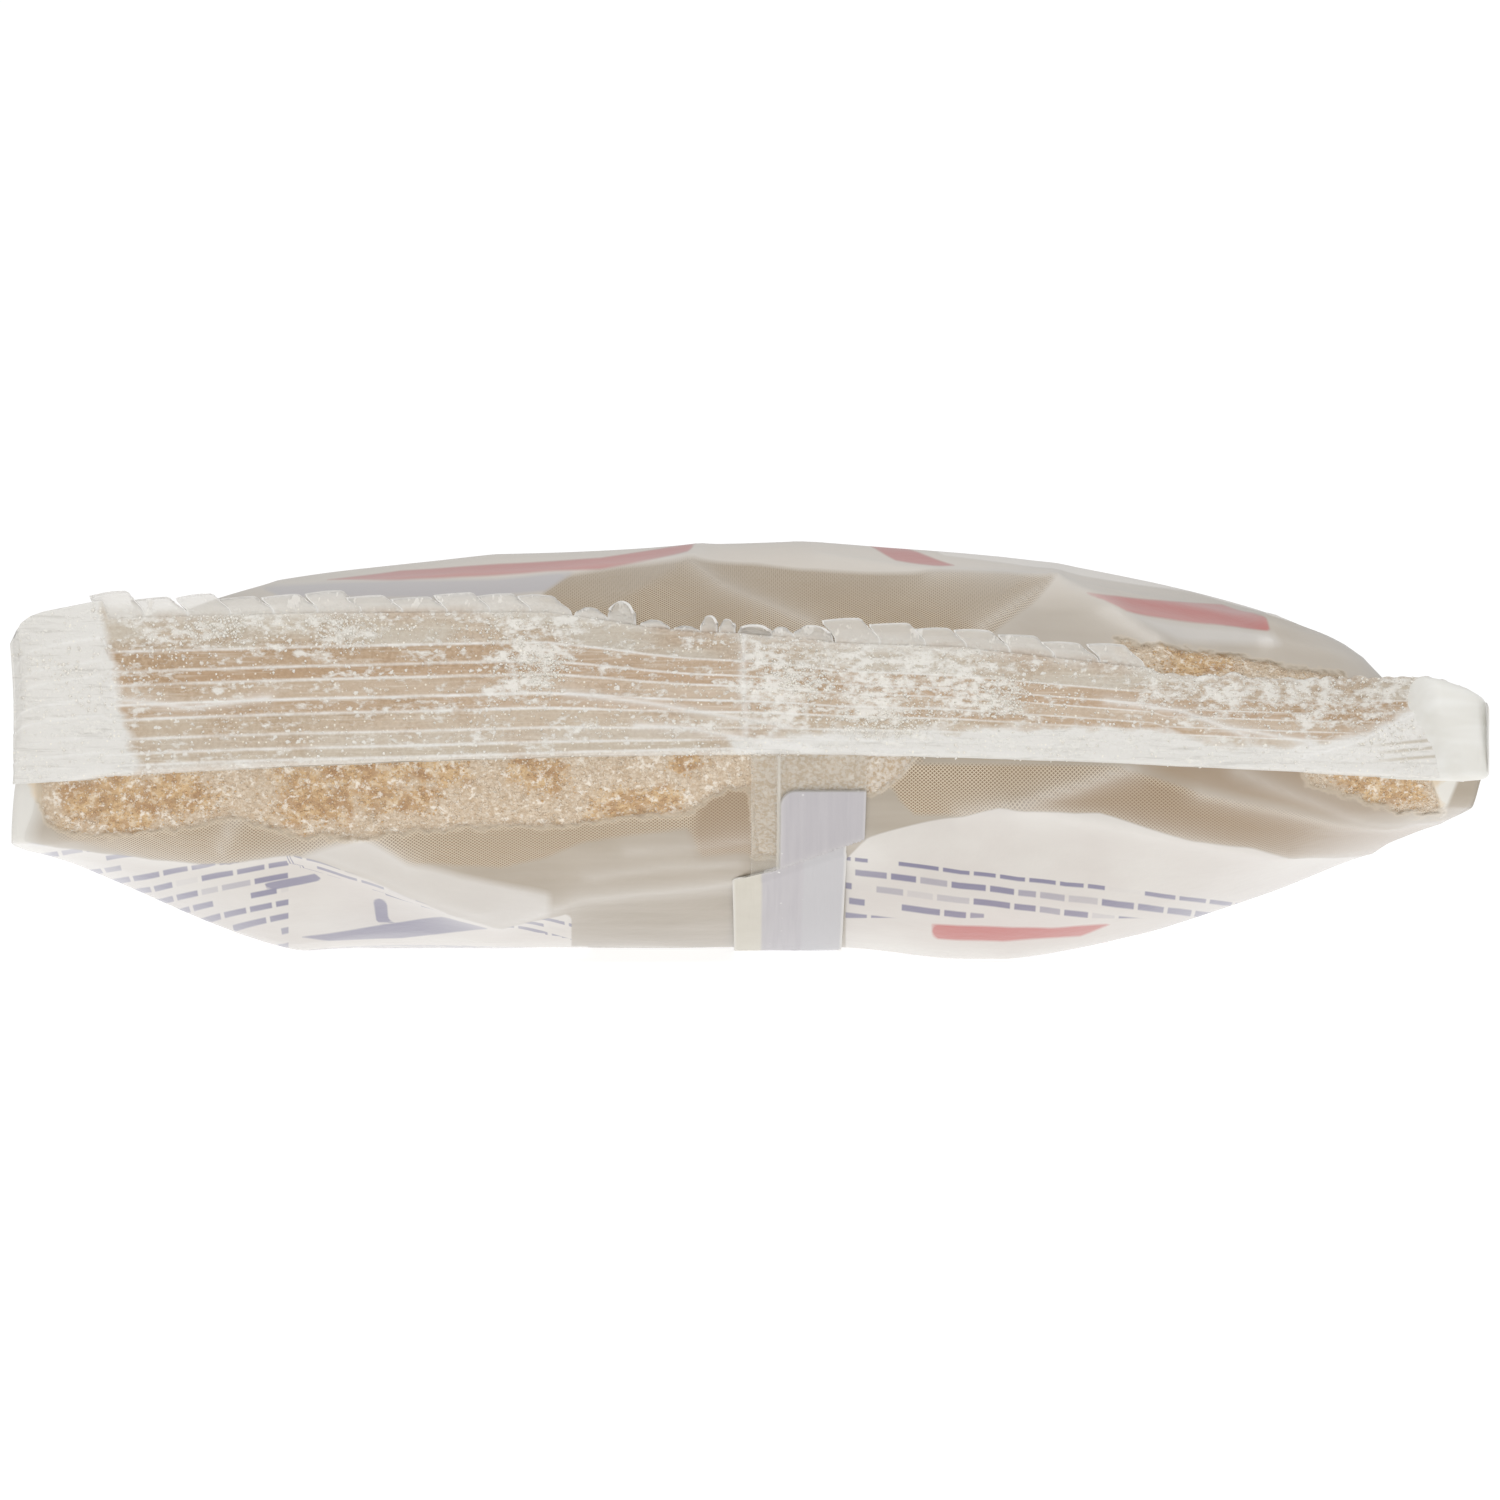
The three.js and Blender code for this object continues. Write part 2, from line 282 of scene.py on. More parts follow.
# Where a point is seen from the near end, as x and z at the near seal
def seenAt(points):
    away = lens["away"] / (points[..., 1] + lens["away"] + lens["behind"])
    x = lens["x"] + (points[..., 0] + shiftX - lens["x"]) * away
    z = lens["height"] + (points[..., 2] - lens["height"]) * away
    return x, z


def gridNormals(points, closed):
    along = np.gradient(points, axis=0)
    if closed:
        around = np.roll(points, -1, axis=1) - np.roll(points, 1, axis=1)
    else:
        around = np.gradient(points, axis=1)
    normal = np.cross(along, around)
    return normal / (np.linalg.norm(normal, axis=-1, keepdims=True) + 1e-12)


# A grid primitive, shaped to rows and columns of points, with a map and fields that its material reads
def sheetPiece(name, points, chart=None, fields=None, closed=False):
    if closed:
        points = np.concatenate([points, points[:, :1]], axis=1)
    rows, columns = points.shape[:2]
    bpy.ops.mesh.primitive_grid_add(x_subdivisions=columns - 1, y_subdivisions=rows - 1, size=2)
    piece = bpy.context.object
    piece.name = piece.data.name = name
    mesh = piece.data
    flat = np.empty(len(mesh.vertices) * 3)
    mesh.vertices.foreach_get("co", flat)
    flat = flat.reshape(-1, 3)
    column = np.rint((flat[:, 0] + 1) / 2 * (columns - 1)).astype(int)
    row = np.rint((flat[:, 1] + 1) / 2 * (rows - 1)).astype(int)
    placed = points[row, column] * mm
    placed[:, 0] += shiftX * mm
    mesh.vertices.foreach_set("co", placed.ravel())
    for key, value in (fields or {}).items():
        if closed:
            value = np.concatenate([value, value[:, :1]], axis=1)
        layer = mesh.attributes.new(key, "FLOAT", "POINT")
        layer.data.foreach_set("value", value[row, column].astype(np.float32))
    if chart is not None:
        if closed:
            chart = np.concatenate([chart, chart[:, :1]], axis=1)
        corner = np.empty(len(mesh.loops), int)
        mesh.loops.foreach_get("vertex_index", corner)
        mesh.uv_layers[0].name = "chart"
        mesh.uv_layers[0].data.foreach_set("uv", chart[row[corner], column[corner]].ravel())
    mesh.update()
    return piece


def inEditMode(piece, *steps):
    bpy.ops.object.select_all(action="DESELECT")
    piece.select_set(True)
    bpy.context.view_layer.objects.active = piece
    bpy.ops.object.mode_set(mode="EDIT")
    bpy.ops.mesh.select_all(action="SELECT")
    for step in steps:
        step()
    bpy.ops.object.mode_set(mode="OBJECT")
    bpy.ops.object.select_all(action="DESELECT")


def closeTube(piece):
    inEditMode(
        piece,
        lambda: bpy.ops.mesh.remove_doubles(threshold=1e-7),
        lambda: bpy.ops.mesh.fill_holes(sides=0),
        lambda: bpy.ops.mesh.normals_make_consistent(inside=False),
    )
    piece.data.shade_smooth()


def linear(red, green, blue):
    def one(value):
        value /= 255
        return value / 12.92 if value <= 0.04045 else ((value + 0.055) / 1.055) ** 2.4
    return (one(red), one(green), one(blue), 1)


class Recipe:
    # A material's node tree, written as sums
    def __init__(self, name):
        self.material = bpy.data.materials.new(name)
        self.material.use_nodes = True
        self.nodes = self.material.node_tree.nodes
        self.links = self.material.node_tree.links
        self.shader = self.nodes["Principled BSDF"]

    def node(self, kind, settings=None, **inputs):
        node = self.nodes.new(kind)
        for key, value in (settings or {}).items():
            setattr(node, key, value)
        for key, value in inputs.items():
            self.put(node.inputs[key.replace("_", " ")], value)
        return node

    def put(self, socket, value):
        if isinstance(value, bpy.types.NodeSocket):
            self.links.new(value, socket)
        else:
            socket.default_value = value

    def field(self, name):
        return self.node("ShaderNodeAttribute", {"attribute_name": name}).outputs["Fac"]

    def place(self):
        return self.node("ShaderNodeTexCoord").outputs["Object"]

    def chart(self):
        return self.node("ShaderNodeUVMap", {"uv_map": "chart"}).outputs["UV"]

    def sum(self, kind, a, b=0.0, c=0.0):
        node = self.nodes.new("ShaderNodeMath")
        node.operation = kind
        for socket, value in zip(node.inputs, (a, b, c)):
            self.put(socket, value)
        return node.outputs[0]

    def times(self, *values):
        product = values[0]
        for value in values[1:]:
            product = self.sum("MULTIPLY", product, value)
        return product

    def most(self, *values):
        highest = values[0]
        for value in values[1:]:
            highest = self.sum("MAXIMUM", highest, value)
        return highest

    def sway(self, value, reach):    # a value from 0 to 1 becomes one round 0, the reach wide
        return self.sum("MULTIPLY", self.sum("SUBTRACT", value, 0.5), reach)

    def fromMiddle(self, value):    # how far off the middle between two whole numbers
        return self.sum("ABSOLUTE", self.sum("SUBTRACT", self.sum("FRACT", value), 0.5))

    def span(self, value, low, high, start=0.0, finish=1.0):
        node = self.node("ShaderNodeMapRange")
        for socket, given in zip(node.inputs, (value, low, high, start, finish)):
            self.put(socket, given)
        return node.outputs[0]

    def blend(self, share, a, b):
        node = self.nodes.new("ShaderNodeMix")
        node.data_type = "RGBA"
        self.put(node.inputs[0], share)
        self.put(node.inputs[6], a)
        self.put(node.inputs[7], b)
        return node.outputs[2]

    def between(self, share, shades):
        return self.blend(share, linear(*shades[0]), linear(*shades[1]))

    def paint(self, share, under, shade):
        return self.blend(share, under, linear(*shade))

    def noise(self, where, scale, detail=2.0, rough=0.5):
        node = self.node("ShaderNodeTexNoise", Vector=where, Scale=scale, Detail=detail, Roughness=rough)
        return node.outputs["Fac"]

    def cells(self, where, scale=1.0):
        return self.node("ShaderNodeTexVoronoi", Vector=where, Scale=scale).outputs

    def stretch(self, where, x=1.0, y=1.0, z=1.0, turn=0.0):
        node = self.node("ShaderNodeMapping", Vector=where)
        node.inputs["Scale"].default_value = (x, y, z)
        node.inputs["Rotation"].default_value = (0, 0, turn)
        return node.outputs[0]

    def split(self, where):
        return self.node("ShaderNodeSeparateXYZ", Vector=where).outputs

    def finish(self, colour, alpha=None, rough=0.4, bump=None, bumpDepth=0.0, bumpStrength=1.0):
        self.put(self.shader.inputs["Base Color"], colour)
        self.put(self.shader.inputs["Roughness"], rough)
        if alpha is not None:
            self.put(self.shader.inputs["Alpha"], alpha)
        if bump is not None:
            node = self.node("ShaderNodeBump", Height=bump, Distance=bumpDepth, Strength=bumpStrength)
            self.put(self.shader.inputs["Normal"], node.outputs[0])
        return self.material


film = {
    "frontColumns": 236,
    "backColumns": 178,
    "rows": (78, 48, 44),
    "pleatHeight": 0.22,
    "pleatReach": 16,
    "crumple": 0.16,
    "ridgeWidth": 0.9,
    "dotPitch": 0.3,
    "edge": 0.07,          # half the width over which a printed field ends
    "earFrom": -0.966,     # the frosted left corner starts here, as a share across
    "earLength": 30,
    "tip": [(69.3, 19.5), (70.6, 15.0), (72.4, 19.5)],    # the folded white tip under the gather
}

# Sharp folds of the near shoulder, seen from the near end: how far each stands proud, and its points
ridges = [
    (0.50, [(-44.9, 11.8), (-38.3, 9.2), (-30.2, 5.8), (-25.1, 4.2), (-17.0, 7.3), (-1.3, 8.9)]),
    (0.42, [(-73.8, 13.1), (-60.6, 11.3), (-54.0, 10.4), (-45.4, 11.8), (-39.0, 13.4), (-34.2, 10.6)]),
    (-0.35, [(-54.0, 10.4), (-52.0, 15.0), (-49.0, 19.0)]),
    (0.30, [(-39.0, 13.4), (-36.5, 17.0)]),
    (0.35, [(1.0, 9.0), (6.0, 11.2), (12.0, 13.1)]),
    (0.45, [(21.8, 15.7), (27.7, 16.6), (38.9, 20.0)]),
    (0.40, [(49.8, 19.9), (56.0, 17.4), (62.8, 15.1), (70.2, 15.0)]),
    (0.25, [(36.0, 36.4), (47.0, 34.6), (60.0, 31.6), (66.0, 30.4)]),
    (0.20, [(38.0, 38.0), (52.0, 35.2), (62.0, 32.0)]),
    (0.30, [(-12.0, 12.0), (-4.0, 12.6), (0.2, 13.0)]),
    (0.30, [(-16.0, 9.4), (-8.0, 10.6), (-1.0, 10.8)]),
    (0.45, [(27.5, 16.5), (45.0, 13.1), (55.1, 11.2), (63.8, 11.8)]),
    (0.35, [(46.0, 17.7), (59.2, 14.9), (66.3, 14.5)]),
    (0.45, [(18.6, 39.5), (31.3, 39.0), (23.7, 34.2)]),
    (0.50, [(31.3, 39.0), (34.8, 37.5), (41.9, 33.2)]),
    (0.35, [(-4.8, 42.1), (-5.8, 41.1), (-2.7, 38.8), (6.4, 34.7)]),
    (0.30, [(-47.4, 38.6), (-20.0, 40.0), (-5.8, 41.6)]),
    (0.30, [(7.4, 41.7), (19.6, 39.9), (30.8, 39.1)]),
]

# Printed fields and folds of the near shoulder: outlines of x and z, seen from the near end
backFields = {
    "clear": [
        [(-73.8, 20.8), (-35.2, 23), (-0.7, 24), (2.3, 24), (2.5, 20.5), (1.0, 17.9), (-1.7, 18.0), (-4.3, 16.9),
         (-5.8, 15.7), (-12.9, 15.1), (-19.0, 14.3), (-28.1, 14.3), (-39.0, 13.3), (-45.4, 13.4), (-52.0, 15.1),
         (-57.6, 13.9), (-64.7, 13.5), (-68.7, 13.6), (-71.0, 14.7), (-72.0, 16.9)],
        [(0.2, 24), (18.0, 22.5), (15.8, 19.6), (13.4, 17.9), (3.8, 17.0), (3.6, 11.3), (0.8, 11.3)],
        [(56.1, 20.5), (71.4, 20.0), (69.9, 17.9), (70.7, 15.7), (66.3, 15.9), (61.2, 17.4), (57.2, 18.6)],
    ],
    "dotted": [
        [(-70.0, 13.3), (-57.6, 13.9), (-52.0, 15.1), (-45.4, 13.4), (-39.0, 13.3), (-28.1, 14.3), (-19.0, 14.3),
         (-12.9, 15.1), (-2.7, 15.7), (-4.8, 14.3), (-17.0, 12.7), (-20.5, 11.1), (-25.1, 10.1), (-34.2, 10.6),
         (-39.0, 13.3), (-45.4, 11.8), (-54.0, 10.5), (-60.6, 11.3)],
        [(-4.8, 16.7), (-1.7, 18.1), (0.7, 17.9), (0.5, 11.8), (-4.8, 11.6), (-5.6, 13.9)],
        [(14.0, 20.6), (38.9, 20.4), (32.8, 17.7), (24.2, 15.6), (17.1, 15.4), (15.5, 16.9)],
        [(25.7, 16.3), (31.8, 17.9), (38.4, 20.0), (46.0, 17.7), (52.1, 16.6), (59.2, 14.9), (66.3, 14.5),
         (74.0, 14.4), (72.0, 12.6), (63.8, 11.6), (60.2, 11.1), (55.1, 11.2), (51.1, 12.4), (45.0, 13.1),
         (35.8, 15.7)],
    ],
    "milky": [
        [(-44.9, 11.8), (-39.0, 13.4), (-34.2, 10.6), (-27.1, 8.8), (-20.0, 7.5), (-20.2, 5.2), (-25.1, 4.2),
         (-30.2, 5.8), (-38.3, 9.2)],
        [(0.2, 24), (18.0, 22.5), (15.8, 19.6), (13.4, 17.9), (3.8, 17.5), (3.6, 11.3), (0.8, 11.3)],
    ],
    "brown": [
        [(28.0, 16.4), (38.5, 19.8), (46.0, 17.4), (52.1, 16.3), (59.2, 14.6), (66.3, 14.2), (74.0, 14.6), (72.0, 12.6),
         (63.8, 11.6), (60.2, 11.1), (55.1, 11.2), (51.1, 12.4), (45.0, 13.1), (35.8, 15.7)],
        [(38.5, 20.8), (57.0, 20.8), (57.0, 18.6), (61.2, 17.2), (66.3, 15.7), (59.2, 15.2), (46.0, 18.0)],
        [(-4.8, 16.7), (-1.7, 18.1), (0.7, 17.9), (0.5, 11.8), (-4.8, 11.6), (-5.6, 13.9)],
    ],
    "cream": [
        [(-78, 13.6), (-60.6, 11.3), (-54.0, 10.5), (-45.4, 11.8), (-38.3, 9.2), (-30.2, 5.8), (-25.1, 4.2),
         (-19.0, 5.2), (-17.8, 5.6), (-17.8, -4), (-78, -4)],
        [(10.0, 11.0), (12.1, 13.3), (18.1, 14.7), (25.7, 16.3), (35.8, 15.7), (45.0, 13.1), (51.1, 12.4),
         (55.1, 11.2), (60.2, 11.1), (63.8, 11.6), (78, 16.9), (78, -4), (10.0, -4)],
    ],
    "tan": [
        [(-17.8, 6.6), (-9.9, 7.8), (-1.3, 8.9), (-1.3, -4), (-17.8, -4)],
        [(11.6, 20.6), (16.0, 22.4), (14.0, 20.6), (15.5, 16.9), (17.1, 15.4), (25.7, 16.4), (18.1, 14.6),
         (11.6, 13.0)],
    ],
    "blue": [
        [(-45.4, 3.0), (-42.3, 3.4), (-33.2, 4.9), (-30.7, 5.3), (-26.1, 4.1), (-35.2, 2.9), (-42.3, 2.7)],
        [(-38.0, 6.9), (-36.6, 7.0), (-36.4, 4.5), (-37.6, 4.5)],
        [(-49.0, 8.4), (-43.5, 9.6), (-43.2, 8.8), (-48.6, 7.6)],
    ],
    "red": [
        [(18.8, 4.4), (22.0, 4.2), (26.2, 4.0), (30.8, 3.9), (37.0, 4.4), (34.0, 3.1), (26.0, 2.6), (18.8, 2.9)],
    ],
}
frontFields = {
    "clear": [
        [(37.4, 33.4), (41.1, 32.6), (46.7, 32.1), (50.9, 31.4), (55.7, 30.3), (60.5, 29.6), (62, 25), (39, 25)],
    ],
    "dotted": [
        [(-21.0, 37.2), (-20.5, 38.0), (-18.5, 39.5), (-12.9, 40.5), (-5.8, 41.3), (0.8, 41.0), (5.4, 40.4),
         (11.5, 39.9), (19.6, 39.7), (25.7, 39.4), (31.3, 38.9), (28.8, 36.6), (25.3, 34.1), (23.0, 31), (22.0, 26),
         (5.4, 26), (-19.0, 26)],
    ],
    "milky": [[(38.7, 35.5), (46.0, 34.5), (53.3, 33.8), (54.1, 32.6), (44.0, 33.2)]],
    "cream": [[(16, 46), (19.6, 41.6), (31.3, 40.1), (45, 38.2), (60, 33.4), (72, 27), (78, 30), (60, 46)]],
    "lilac": [
        [(-49.2, 38.4), (-42.3, 38.8), (-25.1, 39.2), (-17.5, 39.9), (-20.5, 38.0), (-28.1, 37.5), (-47.4, 37.4)],
    ],
    "red": [
        [(-42.8, 39.1), (-35.2, 40.2), (-25.1, 40.7), (-14.9, 41.3), (-5.8, 42.8), (-4.8, 46), (-3, 46), (-5.8, 41.9),
         (-14.9, 40.2), (-25.1, 39.5), (-35.2, 39.0)],
        [(10.0, 46), (15.0, 46), (14.0, 43.3), (21.1, 40.4), (19.1, 40.3), (15.0, 41.1), (11.0, 43.5)],
        [(34.5, 37.5), (42.9, 36.9), (48.2, 36.8), (50.0, 36.0), (52.7, 35.4), (53.1, 34.0), (46.0, 34.7),
         (38.4, 35.7)],
    ],
}

# The print of the flat front and back, and of the far shoulders: ovals by middle and radii, boxes by two corners
printed = {
    "label": ((-2, 2), (50, 57)),
    "window": ((-2, 16), (36, 31)),
    "ring": 4.5,
    "frontDotsFrom": 50,
    "plates": [((-20, -36), (16, -30)), ((-14, -27), (10, -24))],
    "panels": [((-90, -90), (-17.8, 84)), ((10, -90), (90, 84))],
    "panelCorner": 3,
    "backTan": [((-17.8, -90), (-1.3, 78))],
    "backDots": [((-90, 84), (90, 98))],
    "backBlue": [((-58, 20), (-30, 26))],
    "backRed": [((20, 30), (56, 35))],
    "backClear": [((-90, 98), (-1.3, 110))],
    "rowBlocks": [((-64, -56), (-24, 10)), ((16, -56), (60, 22)), ((-64, 34), (-24, 60))],
    "rowPitch": 2.4,
}


def flatFields(key, x, y, onFront):
    nothing = np.full(x.shape, farOutside)
    label = ovalDepth(x, y, *printed["label"])
    window = ovalDepth(x, y, *printed["window"])
    dotsFrom = printed["frontDotsFrom"]
    front = {
        "clear": window,
        "cream": np.minimum(label - printed["ring"], -window - 0.4),
        "red": np.minimum(label, printed["ring"] - label),
        "blue": boxesDepth(x, y, printed["plates"], 1),
        "dotted": np.minimum(-label, np.maximum(y - dotsFrom, -dotsFrom - y)),
    }
    back = {
        "cream": boxesDepth(x, y, printed["panels"], printed["panelCorner"]),
        "tan": boxesDepth(x, y, printed["backTan"]),
        "dotted": boxesDepth(x, y, printed["backDots"]),
        "blue": boxesDepth(x, y, printed["backBlue"], 1),
        "red": boxesDepth(x, y, printed["backRed"], 1),
        "clear": boxesDepth(x, y, printed["backClear"]),
    }
    return np.where(onFront, front.get(key, nothing), back.get(key, nothing))


def girthColumns():
    front = girthShares(film["frontColumns"], fullTop)[::-1]
    back = girthShares(film["backColumns"], fullBack)[1:-1]
    u = np.concatenate([front, back])[None, :]
    onFront = np.concatenate([np.ones(len(front), bool), np.zeros(len(back), bool)])[None, :]
    return u, onFront


columnU, columnFront = girthColumns()
filmRows = lengthRows(*film["rows"])
smoothFilm = filmPoints(columnU, filmRows, columnFront)
outward = gridNormals(smoothFilm, True)
steps = np.linalg.norm(np.diff(smoothFilm, axis=0), axis=-1)
runLength = np.concatenate([np.zeros((1, steps.shape[1])), np.cumsum(steps, axis=0)])  # from the near fold line
fromFar = runLength[-1:] - runLength
frontMask = np.broadcast_to(columnFront, runLength.shape)
upperFilm, lowerFilm = (
    filmPoints(columnU, filmRows, np.full(columnFront.shape, onFront)) for onFront in (True, False)
)
filmRoom = np.clip((upperFilm - lowerFilm)[..., 2] / 2, 0, None)  # half the height inside the bag
seenX, seenZ = seenAt(smoothFilm)
onNearShoulder = smoothFilm[..., 1] < -flatEnd + 0.05


# Height of the film's creases above its smooth shape, and how strongly each sharp fold gets a painted highlight
def filmRelief():
    x, y = smoothFilm[..., 0], smoothFilm[..., 1]
    relief = np.zeros(x.shape)
    shine = np.zeros(x.shape)
    for height, line in ridges:
        upper = line[0][1] > frontAbove
        near = np.exp(-lineDistance(seenX, seenZ, line) / film["ridgeWidth"])
        near = near * (onNearShoulder & (frontMask == upper))
        relief += height * near
        shine = np.maximum(shine, near * min(1, abs(height) * 2))
    toSeal = np.minimum(runLength, fromFar)
    pleat = 1 - np.abs(waves(x * 0.55, toSeal * 0.05, 3, 0.7, 1.8))
    relief += film["pleatHeight"] * (pleat - 0.4) * np.exp(-toSeal / film["pleatReach"])
    crumple = 1 - np.abs(waves(x * 0.16, y * 0.16 + frontMask * 40, 5, 0.5, 1.5))
    relief += film["crumple"] * (crumple - 0.4)
    relief *= smooth(0, 2.5, toSeal) * smooth(0.1, 2.5, filmRoom)
    return relief, shine


relief, shine = filmRelief()
filmSkin = smoothFilm + outward * relief[..., None]
filmSkin[..., 2] = np.maximum(filmSkin[..., 2], 0)

fieldValues = {}
for key in ("clear", "dotted", "milky", "brown", "cream", "tan", "lilac", "blue", "red"):
    front, back = (insideAny(seenX, seenZ, table.get(key, [])) for table in (frontFields, backFields))
    flat = flatFields(key, smoothFilm[..., 0], smoothFilm[..., 1], frontMask)
    fieldValues[key] = np.where(onNearShoulder, np.where(frontMask, front, back), flat)
# The crease field is a painted highlight along the sharp folds
fieldValues["crease"] = shine
# The dots run on a little under the ragged edge of the clear part
underEdge = np.minimum(fieldValues["clear"] + 0.3, fieldValues["dotted"] + 1.4)
fieldValues["dotted"] = np.maximum(fieldValues["dotted"], underEdge)

# Printed rows of the near shoulder: their rise to the right, a point that they start from, and their pitch
rowSets = {
    "left": (0.20, -60, 13, 1.42),
    "strip": (-0.30, -40, 9.6, 0.8),
    "right": (-0.12, 13, 11.6, 1.5),
}
rowStrip = [(-45.4, 11.3), (-36.2, 8.2), (-24.0, 4.9), (-16, 3.2)]  # the middle of the slanting strip
rowEnds = {"left": -46.5, "right": 56, "bottom": 4.9, "top": 11.0, "stripHalf": 0.95}


def rowNumber(name):
    slope, startX, startZ, pitch = rowSets[name]
    return (slope * (seenX - startX) - (seenZ - startZ)) / pitch


# The lines that printed rows follow, one row to each whole number, and how far inside a block each point is
def rowLines():
    onRight = seenX > 0
    onStrip = lineDistance(seenX, seenZ, rowStrip) < rowEnds["stripHalf"]
    near = np.where(onRight, rowNumber("right"), np.where(onStrip, rowNumber("strip"), rowNumber("left")))
    slope, startX = rowSets["right"][:2]
    underTop = rowEnds["top"] + slope * (seenX - startX) - seenZ
    rightBlock = np.minimum(np.minimum(underTop, rowEnds["right"] - seenX), seenZ - rowEnds["bottom"])
    shown = np.where(onRight, rightBlock, np.where(onStrip, 1.0, rowEnds["left"] - seenX))
    x, y = smoothFilm[..., 0], smoothFilm[..., 1]
    lines = np.where(onNearShoulder, near, y / printed["rowPitch"])
    depth = np.where(onNearShoulder, shown, boxesDepth(x, y, printed["rowBlocks"]))
    return lines, np.where(frontMask, farOutside, depth)


fieldValues["rowLine"], fieldValues["rows"] = rowLines()
ear = np.minimum((film["earFrom"] - columnU) * bag["sealHalf"], film["earLength"] - runLength)
ear = ear + 0.3 * waves(smoothFilm[..., 1], smoothFilm[..., 2], 9, 0.5, 1.5)
fieldValues["ear"] = np.where(onNearShoulder, ear, farOutside)
fieldValues["tip"] = np.where(frontMask, farOutside, outlineDepth(seenX, seenZ, film["tip"]))

filmPiece = sheetPiece(
    "film",
    filmSkin,
    chart=np.stack([smoothFilm[..., 0], runLength], -1) * chartScale,
    fields=fieldValues,
    closed=True,
)
closeTube(filmPiece)
print("film made:", len(filmPiece.data.polygons), "faces")

# Colours of the film's print and of the film itself, and of light painted on it
inks = {
    "plain": ((154, 138, 116), (180, 167, 148)),
    # lighter tones above and at the crown: painted light on the upper side
    "plainLitUpper": ((184, 171, 154), (206, 197, 184)),
    "plainLitTop": (234, 225, 213),
    # whitish streaks: a painted reflection on the film
    "streak": (216, 209, 199),
    "dot": ((124, 97, 64), (216, 200, 175)),    # the dots, and what is between them
    "dotCloud": (170, 149, 121),
    "dotBrown": (151, 124, 93),
    "panel": ((214, 209, 202), (207, 200, 193)),
    # lighter on the upper side: painted light
    "panelLitUpper": (240, 234, 226),
    "bar": (88, 84, 126),
    "tan": ((164, 151, 132), (190, 180, 166)),
    "brown": (160, 136, 108),
    "milky": (222, 218, 213),
    "lilac": (190, 187, 192),
    "blue": (116, 112, 140),
    "red": ((186, 74, 66), (192, 100, 96)),    # at the bottom, and higher up
    # a painted highlight along the sharp folds
    "crease": (236, 233, 228),
    "ear": (222, 219, 212),
    "tip": (232, 229, 221),
    "haze": (222, 206, 182),
    "grainHaze": ((208, 188, 158), (252, 247, 238)),
}
# Where each field begins and is full, and how opaque it is there
covers = (
    ("milky", -0.4, 0.4, 0.42),
    ("tip", -0.2, 0.2, 0.9),
    ("cream", -0.1, 0.1, 0.97),
    ("red", -0.1, 0.1, 0.95),
    ("lilac", -0.1, 0.1, 0.8),
    ("ear", -0.6, 0.8, 0.97),
)


